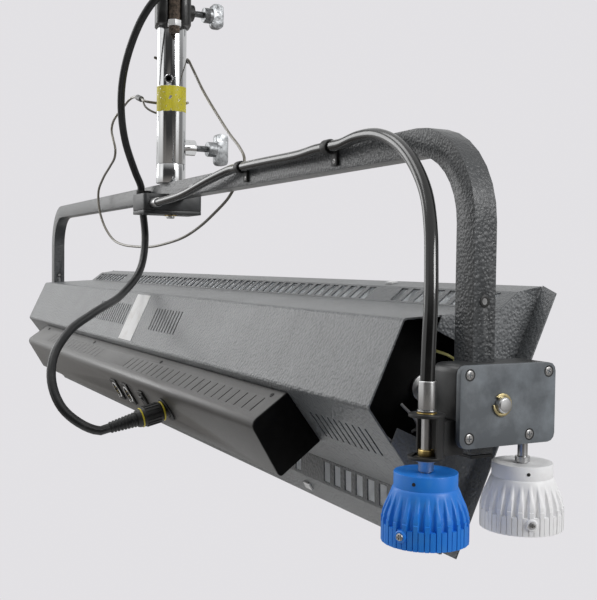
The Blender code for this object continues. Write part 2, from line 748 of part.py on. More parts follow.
def pan_cover():
    """The plate that closes the pan gear's casing from below, hollowed a little for the worm."""
    outline = rounded(rectangle(-PAN_WIDTH / 2, PAN_WIDTH / 2, PAN_FRONT, PAN_BACK), PAN_ROUND)
    plate = flat("pan_cover", [outline, circle(SPINDLE_R + RUN)], COVER_THICK, "gear_plastic",
                 at(0, 0, PAN_BOTTOM))
    pocket_low = PAN_WORM_Z - WORM_R - 2 * GAP
    pocket = block("pocket", (PAN_WIDTH - 2 * CASE_WALL, 2 * WORM_R + 4 * GAP, PAST), "gear_plastic",
                   at(0, -WORM_CENTRES, pocket_low + PAST / 2))
    cut(plate, pocket)


def pan_worm():
    """The pan gear's worm, driven by the flexible shaft."""
    axis = pivot("pan_worm_axis", (0.0, -WORM_CENTRES, PAN_WORM_Z))
    half = WORM_LENGTH / 2
    end = PAN_WIDTH / 2 + WORM_STUB
    turned("pan_worm", [(0, end), (INPUT_R, end), (INPUT_R, half), (WORM_R, half), (WORM_R, -half),
                        (INPUT_R, -half), (INPUT_R, -half - WORM_STUB), (0, -half - WORM_STUB)],
           "bright_steel", ALONG_X, axis, steps=16)


# Tilt unit, on the right leg

def unit_outline():
    """The tilt unit's outline in Y and Z, from the tilt axis."""
    return rounded(rectangle(TILT_FRONT, TILT_BACK, -TILT_BELOW, TILT_ABOVE), CASE_ROUND)


def tilt_case():
    """The tilt gear's casing: a channel for the leg on its inner side, and open to its cover."""
    case = flat("tilt_case", [unit_outline()], TILT_DEPTH - GAP, "gear_plastic",
                at(TILT_INNER, 0, TILT_Z) @ ALONG_X)
    channel_deep = YOKE_WIDTH / 2 + GAP - TILT_INNER
    channel = block("channel", (channel_deep + PAST, TUBE_D + 2 * GAP, CUT_LONG), "gear_plastic",
                    at(TILT_INNER - PAST + (channel_deep + PAST) / 2, 0, TILT_Z))
    room = rod("room", WHEEL_R + 2 * GAP, TILT_CAVITY_X, TILT_OUTER, "gear_plastic",
               at(0, 0, TILT_Z) @ ALONG_X, sides=28)
    worm_inner = TILT_WORM_X - WORM_R - 2 * GAP
    worm_deep = TILT_OUTER - worm_inner
    worm_room = block("worm_room", (worm_deep, 2 * WORM_R + 4 * GAP, WORM_LENGTH + 2 * GAP), "gear_plastic",
                      at(worm_inner + worm_deep / 2, WORM_CENTRES, TILT_Z))
    shaft = rod("shaft", INPUT_R + RUN, -0.1, WORM_LENGTH / 2 + 0.005, "gear_plastic",
                at(TILT_WORM_X, WORM_CENTRES, TILT_Z))
    spindle = rod("spindle", SPINDLE_R + RUN, TILT_INNER - PAST, TILT_OUTER, "gear_plastic",
                  at(0, 0, TILT_Z) @ ALONG_X)
    notch = block("notch", (0.1, 2 * NOTCH_WIDE, 2 * NOTCH_HIGH), "gear_plastic",
                  at(TILT_INNER, TILT_FRONT, TILT_Z - TILT_BELOW))
    cut(case, channel, room, worm_room, shaft, spindle, notch)


def tilt_cover():
    """The tilt gear's cover plate."""
    flat("tilt_cover", [unit_outline(), circle(SPINDLE_R + RUN)], COVER_THICK, "gear_plastic",
         at(TILT_COVER_X, 0, TILT_Z) @ ALONG_X)


def tilt_worm(axis):
    """The tilt gear's worm and the shaft down to its cup."""
    half = WORM_LENGTH / 2
    top = half + WORM_STUB
    end = WHITE_TOP - CUP_HUB_LENGTH - TILT_Z
    collar = WHITE_TOP - TILT_Z + GAP
    turned("tilt_worm", [(0, top), (INPUT_R, top), (INPUT_R, half), (WORM_R, half), (WORM_R, -half),
                         (INPUT_R, -half), (INPUT_R, collar + PALE_COLLAR),
                         (PALE_COLLAR_R, collar + PALE_COLLAR), (PALE_COLLAR_R, collar), (INPUT_R, collar),
                         (INPUT_R, end), (0, end)],
           "bright_steel", None, axis, steps=16)


def cup(name, top, finish, axis, axis_z):
    """A bell-shaped cup for an operating pole, with a hub on its shaft."""
    bottom = -CUP_HEIGHT
    flare = CUP_R - CUP_COLLAR_R
    shoulder, waist, skirt = [CUP_COLLAR_R + share * flare for share in CUP_FLARE]
    outer = [(CUP_COLLAR_R - CUP_EDGE, 0.0), (CUP_COLLAR_R, -CUP_EDGE), (CUP_COLLAR_R, -CUP_COLLAR_H),
             (shoulder, -CUP_COLLAR_H - CUP_SHOULDER), (waist, (-CUP_COLLAR_H - CUP_STEP) / 2),
             (skirt, -CUP_STEP), (CUP_R, -CUP_STEP - CUP_BAND_STEP), (CUP_R, bottom)]
    inner = [(CUP_R - CUP_WALL, bottom), (CUP_R - CUP_WALL, -CUP_STEP),
             (CUP_COLLAR_R - CUP_WALL + CUP_INNER_FLARE * flare, -CUP_COLLAR_H - CUP_INNER_DROP),
             (CUP_COLLAR_R - CUP_WALL, -CUP_TOP_THICK), (CUP_HUB_R, -CUP_TOP_THICK),
             (CUP_HUB_R, -CUP_HUB_LENGTH), (HUB_BORE_R, -CUP_HUB_LENGTH), (HUB_BORE_R, 0.0)]
    turned(name, outer + inner, finish, at(0, 0, top - axis_z), axis, steps=28)


def cup_bracket():
    """The bracket for the pan cup's shaft: two round tabs, a curved web behind the shaft, and a lug."""
    x, y = BLUE_AXIS
    body = rod("cup_bracket", TAB_R, BOTTOM_TAB - TAB_THICK, BOTTOM_TAB, "gear_plastic", at(x, y, 0),
               sides=24)
    upper = rod("upper_tab", TAB_R, TOP_TAB - TAB_THICK, TOP_TAB, "gear_plastic", at(x, y, 0), sides=24)
    angles = [math.pi * k / 12 for k in range(13)]
    outside = TAB_R - TAB_THICK / 5
    inside = TAB_R - TAB_THICK
    arc = [(outside * math.cos(a), outside * math.sin(a)) for a in angles]
    arc += [(inside * math.cos(a), inside * math.sin(a)) for a in reversed(angles)]
    low = BOTTOM_TAB - TAB_THICK / 2
    high = TOP_TAB - TAB_THICK / 2
    web = flat("web", [arc], high - low, "gear_plastic", at(x, y, low))
    lug_start = y + TAB_R - TAB_THICK * 0.6
    lug_end = TILT_FRONT + NOTCH_WIDE - GAP
    lug_top = TILT_Z - TILT_BELOW + NOTCH_HIGH - GAP
    lug = block("lug", (LUG_WIDE, lug_end - lug_start, lug_top - low), "gear_plastic",
                at(x - LUG_WIDE / 2 + 0.004, (lug_start + lug_end) / 2, (lug_top + low) / 2))
    bore = rod("bore", INPUT_R + RUN + BUSH_WALL + GAP, BOTTOM_TAB - PAST, TOP_TAB + PAST, "gear_plastic",
               at(x, y, 0))
    join(body, web, upper, lug)
    cut(body, bore)


def bush(name, top, rise, proud):
    """A flanged bush in one tab of the cup bracket."""
    x, y = BLUE_AXIS
    bore = INPUT_R + RUN
    out = bore + BUSH_WALL
    flange = out + proud
    turned(name, [(out, top + rise), (flange, top + rise - 0.0005), (flange, top + GAP), (out, top + GAP),
                  (out, top - TAB_THICK), (bore, top - TAB_THICK), (bore, top + rise)],
           "brass", at(x, y, 0), steps=20)


def pan_input_shaft(axis, axis_z):
    """The short shaft between the flexible shaft and the pan cup, with its retaining rings and collar."""
    ring_top = TOP_TAB + TOP_BUSH_RISE + GAP
    ring_low = BOTTOM_TAB - TAB_THICK - GAP
    start = BLUE_TOP + GAP
    top = ring_top + CLIP_THICK + GAP + 0.006
    end = BLUE_TOP - CUP_HUB_LENGTH
    steps = [(0, top), (INPUT_R, top), (INPUT_R, ring_top + CLIP_THICK), (TOP_RING_R, ring_top + CLIP_THICK),
             (TOP_RING_R, ring_top), (INPUT_R, ring_top), (INPUT_R, ring_low), (BOTTOM_RING_R, ring_low),
             (BOTTOM_RING_R, ring_low - CLIP_THICK), (PALE_COLLAR_R, ring_low - CLIP_THICK),
             (PALE_COLLAR_R, start), (INPUT_R, start), (INPUT_R, end), (0, end)]
    turned("pan_input_shaft", [(r, z - axis_z) for r, z in steps], "bright_steel", None, axis, steps=16)


def ferrule(name, where, shaft_room):
    """A swaged end fitting: the sheath enters one end, and the shaft the other."""
    grip = SHEATH_R + GAP
    rim = FERRULE_R - FERRULE_EDGE
    turned(name, [(rim, 0), (FERRULE_R, -FERRULE_EDGE), (FERRULE_R, -FERRULE_LENGTH + FERRULE_EDGE),
                  (rim, -FERRULE_LENGTH), (shaft_room, -FERRULE_LENGTH), (shaft_room, -FERRULE_GRIP),
                  (grip, -FERRULE_GRIP), (grip, 0)], "bright_steel", where, steps=18)


# Cords

# along the bar, each place measured back from the yoke's right side
SHEATH_ROUTE = [
    (0.5720, -0.0290, -0.3710), (0.4940, -0.0240, -0.3580), (0.4380, -0.0190, -0.3500),
    (0.4280, -0.0190, -0.3500), (0.4000, -0.0190, -0.3500), (0.3900, -0.0190, -0.3500),
    (0.3410, -0.0180, -0.3500), (0.2710, -0.0180, -0.3505), (0.2340, -0.0190, -0.3490),
    (0.2240, -0.0190, -0.3490), (0.1960, -0.0190, -0.3490), (0.1860, -0.0190, -0.3490),
    (0.1550, -0.0200, -0.3460), (0.1210, -0.0220, -0.3480), (0.0930, -0.0240, -0.3560),
    (0.0650, -0.0280, -0.3700), (0.0430, -0.0320, -0.3870), (0.0260, -0.0360, -0.4060),
    (0.0100, -0.0430, -0.4320), (0.0000, -0.0490, -0.4600), (-0.0060, -0.0530, -0.4830),
    (-0.0095, -0.0565, -0.5120)]
CLIP_PLACES = ((0.4140, -0.0190, -0.3500), (0.2100, -0.0190, -0.3490))
LEAD_CLIP = (-0.0640, -0.0228, -0.3585)
LOWER_LEAD_ROUTE = [
    (0.2273, -0.1804, -0.6407), (0.2165, -0.2011, -0.6222), (0.2013, -0.2094, -0.5960),
    (0.1817, -0.2036, -0.5680), (0.1515, -0.1793, -0.5417), (0.0943, -0.1340, -0.5224),
    (0.0167, -0.0736, -0.5010), (-0.0247, -0.0355, -0.4671), (-0.0487, -0.0212, -0.4258),
    (-0.0610, -0.0204, -0.3881)]
UPPER_LEAD_ROUTE = [
    (-0.0648, -0.0317, -0.3265), (-0.0592, -0.0482, -0.2848), (-0.0455, -0.0585, -0.2438),
    (-0.0265, -0.0626, -0.2045), (-0.0042, -0.0596, -0.1660), (0.0181, -0.0499, -0.1293),
    (0.0337, -0.0362, -0.1041)]
WIRE_ROUTE = [
    (0.0125, 0.0245, -0.1823), (0.0573, 0.0245, -0.2227), (0.1074, 0.0240, -0.2607),
    (0.1530, 0.0240, -0.2936), (0.1879, 0.0235, -0.3154), (0.2040, 0.0225, -0.3312),
    (0.1934, 0.0215, -0.3514), (0.1699, 0.0215, -0.3675), (0.1559, 0.0210, -0.3763),
    (0.1138, 0.0200, -0.3927), (0.0686, 0.0190, -0.4075), (0.0103, 0.0160, -0.4219),
    (-0.0536, 0.0100, -0.4305), (-0.0972, 0.0040, -0.4342), (-0.1312, -0.0000, -0.4339),
    (-0.1606, -0.0030, -0.4330), (-0.2055, -0.0080, -0.4295), (-0.2427, -0.0130, -0.4203),
    (-0.2671, -0.0190, -0.4010), (-0.2840, -0.0225, -0.3783), (-0.2907, -0.0240, -0.3590),
    (-0.2874, -0.0250, -0.3401), (-0.2548, -0.0260, -0.3204), (-0.2088, -0.0280, -0.3059),
    (-0.1753, -0.0300, -0.2942), (-0.1689, -0.0310, -0.2831), (-0.1773, -0.0320, -0.2674),
    (-0.1872, -0.0320, -0.2514), (-0.1799, -0.0320, -0.2405), (-0.1606, -0.0310, -0.2312),
    (-0.1278, -0.0300, -0.2227), (-0.1078, -0.0290, -0.2170), (-0.0846, -0.0280, -0.2156),
    (-0.0572, -0.0265, -0.2216), (-0.0309, -0.0250, -0.2300)]


def flex_sheath(bracket_end):
    """The flexible shaft's sheath, from the pan unit along the bar and down to the cup bracket."""
    x, y = BLUE_AXIS
    start = PAN_WIDTH / 2 + GAP + FERRULE_LENGTH - FERRULE_GRIP + GAP
    first = [(start + k * 2 * SHEATH_R, -WORM_CENTRES, PAN_WORM_Z) for k in range(2)]
    last = [(x, y, bracket_end + 2 * SHEATH_R), (x, y, bracket_end)]
    route = [(YOKE_WIDTH / 2 - back, y, z) for back, y, z in SHEATH_ROUTE]
    tube("flex_sheath", smooth_route(first + route + last, 5 * SHEATH_R), SHEATH_R, "cord_rubber")


def sheath_clip(name, place):
    """A saddle clip that holds the sheath against the bar's front face."""
    back, y, z = place
    x = YOKE_WIDTH / 2 - back
    ring = SHEATH_R + GAP + CLIP_WALL
    body = rod(name, ring, x - CLIP_WIDTH / 2, x + CLIP_WIDTH / 2, "black_plastic", at(0, y, z) @ ALONG_X)
    face = -TUBE_D / 2 - GAP
    low = BAR_TOP - CLIP_FOOT
    inner = y + ring - CLIP_SINK
    tab = block("tab", (CLIP_WIDTH, face - inner, z - low), "black_plastic",
                at(x, (face + inner) / 2, (z + low) / 2))
    bore = rod("bore", SHEATH_R + GAP, x - CLIP_WIDTH, x + CLIP_WIDTH, "black_plastic",
               at(0, y, z) @ ALONG_X)
    join(body, tab)
    cut(body, bore)


def lead_clip():
    """The clip that holds the power lead on the bar."""
    x, y, z = LEAD_CLIP
    ring = LEAD_R + GAP + CLIP_WALL
    body = rod("lead_clip", ring, z - CLIP_WIDTH / 2, z + CLIP_WIDTH / 2, "black_plastic", at(x, y, 0))
    face = -TUBE_D / 2 - GAP
    back = y + LEAD_R + GAP
    foot = block("foot", (ring * 2, face - back, CLIP_WIDTH), "black_plastic", at(x, (face + back) / 2, z))
    bore = rod("bore", LEAD_R + GAP, z - CLIP_WIDTH, z + CLIP_WIDTH, "black_plastic", at(x, y, 0))
    join(body, foot)
    cut(body, bore)


def power_leads(plug_end, plug_way):
    """The power lead's two free stretches: inlet to bar, and bar up to the coil."""
    x, y, z = LEAD_CLIP
    start = plug_end + plug_way * GAP
    lower = [start, start + plug_way * 2 * LEAD_R] + LOWER_LEAD_ROUTE
    lower += [(x, y, z - 2 * LEAD_R), (x, y, z - GAP / 2)]
    tube("lower_lead", smooth_route(lower, 5 * LEAD_R), LEAD_R, "cord_rubber", sides=8)
    coil_in, coil_way = coil_start()
    rising = []
    for degrees, radius, height in ((-8, 0.0490, -0.0860), (22, 0.0560, -0.0720), (52, 0.0640, -0.0610),
                                    (80, 0.0695, -0.0500)):
        angle = math.radians(degrees)
        rising.append(casting_point(radius * math.cos(angle), radius * math.sin(angle), height))
    upper = [(x, y, z + GAP / 2), (x, y, z + 2 * LEAD_R)] + UPPER_LEAD_ROUTE + rising
    upper += [coil_in - coil_way * (2 * LEAD_R + GAP), coil_in - coil_way * GAP]
    tube("upper_lead", smooth_route(upper, 5 * LEAD_R), LEAD_R, "cord_rubber", sides=8)


def coil_point(turns):
    """A place on the coil's middle line: it winds in below, climbs a layer, and winds out again above."""
    middle = COIL_LOOPS / 2
    radius = COIL_INNER_R + COIL_PITCH * abs(turns - middle)
    climb = min(max((turns - middle) * 2 + 0.5, 0.0), 1.0)
    height = COIL_Z + COIL_LAYER * (3 * climb ** 2 - 2 * climb ** 3)
    angle = COIL_START + 2 * math.pi * turns
    return casting_point(radius * math.cos(angle), radius * math.sin(angle), height)


def coil_way(turns):
    """The coil's direction at a place on it."""
    return (coil_point(turns + 0.001) - coil_point(turns - 0.001)).normalized()


def coil_start():
    """Where the coil's straight lead-in begins, and its direction."""
    way = coil_way(0.002)
    way.z = 0.0
    way.normalize()
    return coil_point(0.0) - way * 2 * LEAD_R, way


def power_coil():
    """The rest of the lead, put away as a coil round the hanger's neck, and its plug beside it."""
    steps = round(COIL_LOOPS * LOOP_POINTS)
    points = [coil_point(k / LOOP_POINTS) for k in range(steps + 1)]
    least = min((a - b).length for i, a in enumerate(points) for b in points[i + LOOP_POINTS // 2:])
    print("least gap of the coil to itself: %.2f mm" % ((least - 2 * LEAD_R) * 1000))
    start, way_in = coil_start()
    ahead = coil_way(COIL_LOOPS - 0.002)
    outward = ahead.cross(Vector((0, 0, 1)))
    tail = [points[-1] + ahead * along + outward * out for along, out in COIL_TAIL]
    way_out = (tail[-1] - tail[-2]).normalized()
    end = tail[-1] + way_out * 2 * LEAD_R
    tube("power_coil", [start] + points + tail + [end], LEAD_R, "cord_rubber", sides=6)
    power_plug(end + way_out * GAP, way_out)


def power_plug(place, way):
    """The supply plug at the lead's end: gland, body and face."""
    side = way.cross(Vector((0, 0, 1)))
    where = frame(place, side, Vector((0, 0, 1)), -way)
    turned("power_plug", [(0, 0), (0.008, 0), (0.0095, -0.012), (0.0135, -0.018), (0.0145, -0.052),
                          (0.0135, -0.055), (0, -0.055)], "black_plastic", where, steps=20)


def coil_tie():
    """The strap that ties the coil to the neck, on the side away from the bolt."""
    outer_r = COIL_INNER_R + COIL_PITCH * COIL_LOOPS / 2 + 2 * LEAD_R
    inner_r = COIL_INNER_R - COIL_PITCH / 4 - LEAD_R - GAP
    low = COIL_Z - LEAD_R - GAP
    high = COIL_Z + COIL_LAYER + LEAD_R + GAP
    opening = rectangle(-outer_r, -inner_r, low, high)
    band = rectangle(-outer_r - STRAP, -inner_r + STRAP, low - STRAP, high + STRAP)
    wide = 0.008
    upright = CASTING_FRAME @ frame((0, wide / 2, 0), (1, 0, 0), (0, 0, 1), (0, -1, 0))
    strap = flat("coil_tie", [band, opening], wide, "black_plastic", upright)
    middle = (low + high) / 2
    hoop = flat("hoop", [circle(NECK_R + GAP + STRAP), circle(NECK_R + GAP)], wide, "black_plastic",
                at(0, 0, middle - wide / 2))
    reach = inner_r - NECK_R - GAP
    arm = block("arm", (reach - STRAP / 2, wide, STRAP), "black_plastic",
                CASTING_FRAME @ at(-(NECK_R + GAP + STRAP / 2 + (reach - STRAP / 2) / 2), 0, middle))
    join(strap, hoop, arm)


def safety_wire():
    """The safety wire: hooked round the back of the sleeve at both ends, and hanging round the bar."""
    hook_r = SLEEVE_R + WIRE_R + WIRE_SLACK
    upper = []
    lower = []
    for degrees in UPPER_HOOK:
        angle = math.radians(degrees)
        upper.append((-hook_r * math.sin(angle), hook_r * math.cos(angle), UPPER_HOOK_Z))
    for degrees in LOWER_HOOK:
        angle = math.radians(degrees)
        lower.append((-hook_r * math.sin(angle), -hook_r * math.cos(angle), LOWER_HOOK_Z))
    hanging = smooth_route(upper[-2:] + WIRE_ROUTE + lower[:2], 0.022)
    tube("safety_wire", upper[:-2] + hanging + lower[2:], WIRE_R, "wire_sleeve", sides=8)


# Head

def section(n, w):
    """A section point in the head's frame, where the pivot lies off the middle."""
    return (n, w + PIVOT_OFF_MIDDLE)


def rear_cover(head):
    """The folded rear cover: back panel and two sloping sides, with its vent slits."""
    corners = [(FOLD[0], FOLD[1]), (BACK_DEPTH, BACK_HALF), (BACK_DEPTH, -BACK_HALF), (FOLD[0], -FOLD[1])]
    arcs = rounded(corners, [0, BEND_R, BEND_R, 0], steps=2)
    cover = folded("rear_cover", [section(*p) for p in arcs], 2 * HALF_LENGTH, SHEET, "cover_paint", None,
                   head)
    low, high = BACK_SLIT_REACH
    slits = [(start + k * SLIT_PITCH, BACK_DEPTH, (low + high) / 2, high - low, 0.0)
             for start, count in BACK_SLITS for k in range(count)]
    s_middle = sum(SIDE_SLIT_REACH) / 2
    slope = math.atan2(FOLD[0] - BACK_DEPTH, -(FOLD[1] - BACK_HALF))
    place = side_point(s_middle, 0.0)
    reach = SIDE_SLIT_REACH[1] - SIDE_SLIT_REACH[0]
    slits += [(SIDE_SLIT_LAST - k * SLIT_PITCH, place[0], place[1], reach, slope) for k in range(SIDE_SLITS)]
    work = bmesh.new()
    for x, n, w, length, angle in slits:
        turn = Matrix.Rotation(-angle, 4, "X")
        n, w = section(n, w)
        bmesh.ops.create_cube(work, size=1.0,
                              matrix=at(x, n, w) @ turn @ Matrix.Diagonal((SLIT, 0.008, length, 1.0)))
    mesh = bpy.data.meshes.new("slits")
    work.to_mesh(mesh)
    work.free()
    cut(cover, put("slits", mesh, "cover_paint", None, head))


def vent_slots():
    """The middles of the vent slots along X: three groups with a plain gap at each spring clip."""
    left, right = VENT_GAPS
    places = []
    count = round(2 * VENT_END / SLOT_PITCH)
    for k in range(count + 1):
        x = -VENT_END + SLOT_WIDE / 2 + k * SLOT_PITCH
        if x + SLOT_WIDE / 2 <= VENT_END and min(abs(x - left), abs(x - right)) > SLOT_PITCH:
            places.append(x)
    return places


def vent(name, side, head):
    """A slotted vent panel with its front lip, above or below."""
    fold = Vector(FOLD)
    edge = Vector(VENT_EDGE)
    way = (edge - fold).normalized()
    start = fold + way * GAP
    corners = [tuple(start), VENT_EDGE, LIP_EDGE]
    if side > 0:
        corners.reverse()
    panel = folded(name, [section(n, side * w) for n, w in corners], 2 * HALF_LENGTH, SHEET, "cover_paint",
                   None, head)
    middle = (fold + edge) / 2
    length = (edge - fold).length - 2 * SLOT_LEAVE
    angle = math.atan2(-way.x, way.y) * side
    n, w = section(middle.x, side * middle.y)
    work = bmesh.new()
    for x in vent_slots():
        bmesh.ops.create_cube(work, size=1.0, matrix=at(x, n, w) @ Matrix.Rotation(angle, 4, "X")
                              @ Matrix.Diagonal((SLOT_WIDE, 0.006, length, 1.0)))
    mesh = bpy.data.meshes.new("slots")
    work.to_mesh(mesh)
    work.free()
    cut(panel, put("slots", mesh, "cover_paint", None, head))


def end_plate(name, side, head):
    """The textured end sheet: open at its rear middle, with a flange turned out along its front."""
    slope = (FOLD[1] - BACK_HALF) / (FOLD[0] - BACK_DEPTH)
    rear_w = BACK_HALF + (END_REAR - BACK_DEPTH) * slope
    upper = [(OPENING_FRONT, OPENING_HALF), (END_REAR, OPENING_HALF), (END_REAR, rear_w), FOLD, VENT_EDGE,
             (VENT_EDGE[0] + 0.0024, VENT_EDGE[1] + 0.0024), (END_FRONT + TINY, NOTCH_HALF)]
    outline = upper + [(n, -w) for n, w in reversed(upper)]
    outline = [section(*p) for p in reversed(outline)]
    inner = HALF_LENGTH + GAP
    x0 = inner if side > 0 else -inner - SHEET
    plate = flat(name, [outline], SHEET, "cover_paint", at(x0, 0, 0) @ ALONG_X, head)
    outer = inner + SHEET
    tip = outer + FLANGE_OUT
    corners = [(inner, -NOTCH_HALF), (outer, -NOTCH_HALF), (outer, -FLANGE_DOWN), (tip, -FLANGE_DOWN),
               (tip, FLANGE_TIP_UP), (outer, FLANGE_UP), (outer, NOTCH_HALF), (inner, NOTCH_HALF)]
    corners = [(side * x, w + PIVOT_OFF_MIDDLE) for x, w in corners]
    if side < 0:
        corners.reverse()
    flange = flat("flange", [corners], SHEET, "cover_paint",
                  frame((0, END_FRONT + SHEET, 0), (1, 0, 0), (0, 0, 1), (0, -1, 0)), head)
    join(plate, flange)


def end_cap(name, side, head):
    """The recessed cap that closes the head's end and carries its pivot."""
    corners = [(BACK_DEPTH, -BACK_HALF), (FOLD[0], -FOLD[1]), (VENT_EDGE[0], -VENT_EDGE[1]),
               VENT_EDGE, FOLD, (BACK_DEPTH, BACK_HALF)]
    outline = rounded(inset(corners, SHEET + GAP), [BEND_R, 0, 0, 0, 0, BEND_R], steps=2)
    outline = [section(*p) for p in outline]
    x0 = CAP_X - CAP_THICK if side > 0 else -CAP_X
    flat(name, [outline], CAP_THICK, "black_plastic", at(x0, 0, 0) @ ALONG_X, head)


def head_inside(head):
    """Reflector, board, diffuser and the egg-crate louvre in front."""
    (mouth_n, mouth_w), (floor_n, floor_w) = REFLECTOR
    corners = [(mouth_n, mouth_w), (floor_n, floor_w), (floor_n, -floor_w), (mouth_n, -mouth_w)]
    inside = 2 * (CAP_X - CAP_THICK - GAP)
    folded("reflector", [section(*p) for p in corners], inside, REFLECTOR_THICK, "reflector", None, head)
    board_n = floor_n + REFLECTOR_THICK + GAP + BOARD_THICK / 2
    block("led_board", (inside - 0.02, BOARD_THICK, 2 * BOARD_HALF), "board",
          at(0, board_n, PIVOT_OFF_MIDDLE), head)
    half = VENT_EDGE[1] - SHEET
    block("diffuser", (2 * HALF_LENGTH, DIFFUSER_THICK, 2 * half), "diffuser",
          at(0, DIFFUSER_FRONT + DIFFUSER_THICK / 2, PIVOT_OFF_MIDDLE), head)
    across, rows = LOUVRE_CELLS
    length = 2 * HALF_LENGTH
    high = 2 * half
    cell_x = (length - LOUVRE_BLADE) / across
    cell_w = (high - LOUVRE_BLADE) / rows
    outlines = [rectangle(-length / 2, length / 2, -high / 2, high / 2)]
    for i in range(across):
        for j in range(rows):
            left = -length / 2 + LOUVRE_BLADE + i * cell_x
            low = -high / 2 + LOUVRE_BLADE + j * cell_w
            outlines.append(rectangle(left, left + cell_x - LOUVRE_BLADE, low, low + cell_w - LOUVRE_BLADE))
    front = DIFFUSER_FRONT + DIFFUSER_THICK + LOUVRE_GAP + LOUVRE_DEPTH
    flat("front_louvre", outlines, LOUVRE_DEPTH, "reflector",
         frame((0, front, PIVOT_OFF_MIDDLE), (1, 0, 0), (0, 0, 1), (0, -1, 0)), head)


def head_pivots(head):
    """The tilt spindle on the right, keyed to its wheel, and the plain pin on the left."""
    face = CAP_X + GAP
    end = TILT_OUTER + SPINDLE_PROUD
    turned("tilt_spindle", [(0, end), (SPINDLE_R - 0.001, end), (SPINDLE_R, end - 0.001),
                            (SPINDLE_R, face + PIVOT_FLANGE), (PIVOT_FLANGE_R, face + PIVOT_FLANGE),
                            (PIVOT_FLANGE_R, face), (0, face)], "bright_steel", ALONG_X, head)
    worm_wheel("tilt_wheel", at(TILT_WORM_X, 0, 0) @ ALONG_X, head)
    spindle_clip("tilt_circlip", at(TILT_OUTER + GAP, 0, 0) @ ALONG_X, head)
    pin_end = YOKE_WIDTH / 2 + GAP
    nut = pin_end + LEFT_NUT
    turned("left_pivot_pin", [(0, -face), (PIVOT_FLANGE_R, -face), (PIVOT_FLANGE_R, -face - PIVOT_FLANGE),
                              (LEFT_PIN_R, -face - PIVOT_FLANGE), (LEFT_PIN_R, -pin_end),
                              (LEFT_PIN_R + LEFT_NUT, -pin_end), (LEFT_PIN_R + LEFT_NUT, -nut), (0, -nut)],
           "bright_steel", ALONG_X, head)


# Driver box, on the head's lower side

def side_point(s, t):
    """A section point given along and out from the head's lower side."""
    start = Vector((BACK_DEPTH, -BACK_HALF))
    along = (Vector((FOLD[0], -FOLD[1])) - start).normalized()
    out = Vector((along.y, -along.x))
    return tuple(start + along * s + out * t)


def box_corners():
    """The box's section, anticlockwise: upper foot, upper edge, lower edge, lower foot."""
    foot_s, edge_s, low_s = BOX_ALONG
    edge_t, low_t = BOX_PROUD
    return [side_point(foot_s, GAP), side_point(edge_s, edge_t), side_point(low_s, low_t),
            side_point(low_s, GAP)]


def back_face():
    """The back face's frame in the head: X along the light, Y up the face, Z outward."""
    edge = Vector(box_corners()[1])
    low = Vector(box_corners()[2])
    down = (low - edge).normalized()
    out = Vector((down.y, -down.x))
    n, w = section(*(edge + down * FACE_DROP))
    return frame((0, n, w), (1, 0, 0), (0, -down.x, -down.y), (0, out.x, out.y))


def driver_box(head):
    """The box's folded shell, its two end caps and the driver inside."""
    corners = [section(*p) for p in box_corners()]
    radii = [0.001, BOX_ROUND, 0.003, 0.001]
    outer = rounded(corners, radii)
    inner = rounded(inset(corners, SHEET), [0.0005, BOX_ROUND - SHEET, 0.0015, 0.0005])
    shell = flat("driver_box", [outer, inner], 2 * BOX_HALF, "cover_paint", at(-BOX_HALF, 0, 0) @ ALONG_X,
                 head)
    face = back_face()
    through = 4 * SHEET
    holes = [rod("hole", SOCKET_R + GAP, -through, through, "cover_paint", face @ at(x, 0, 0), head)
             for x in (*DATA_SOCKET_X, INLET_X)]
    wide, high = SWITCH_SIZE
    holes.append(block("hole", (wide - 2 * SWITCH_BEZEL, high - 2 * SWITCH_BEZEL, 2 * through), "cover_paint",
                       face @ at(SWITCH_X, 0, 0), head))
    cut(shell, *holes)
    for name, x0 in (("box_cap_right", BOX_HALF + GAP), ("box_cap_left", -BOX_HALF - GAP - BOX_CAP)):
        flat(name, [outer], BOX_CAP, "black_plastic", at(x0, 0, 0) @ ALONG_X, head)
    long, along, tall = DRIVER_SIZE
    s = sum(BOX_ALONG[1:]) / 2
    t = 2 * GAP + SHEET + tall / 2
    n, w = section(*side_point(s, t))
    slope = math.atan2(FOLD[1] - BACK_HALF, FOLD[0] - BACK_DEPTH)
    block("led_driver", (long, along, tall), "bright_steel",
          at(DRIVER_X, n, w) @ Matrix.Rotation(-slope, 4, "X"), head)


def data_socket(name, x, head):
    """A round data socket behind its own square flange."""
    wide, high = SOCKET_FLANGE
    place = back_face() @ at(x, 0, GAP)
    body = flat(name, [rounded(rectangle(-wide / 2, wide / 2, -high / 2, high / 2), 0.003)], FLANGE_THICK,
                "black_plastic", place, head)
    barrel = rod("barrel", SOCKET_R, -SOCKET_LENGTH, FLANGE_THICK / 2, "black_plastic", place, head)
    face = rod("face", SOCKET_FACE_R, FLANGE_THICK - 0.0012, 0.01, "black_plastic", place, head)
    join(body, barrel)
    cut(body, face)


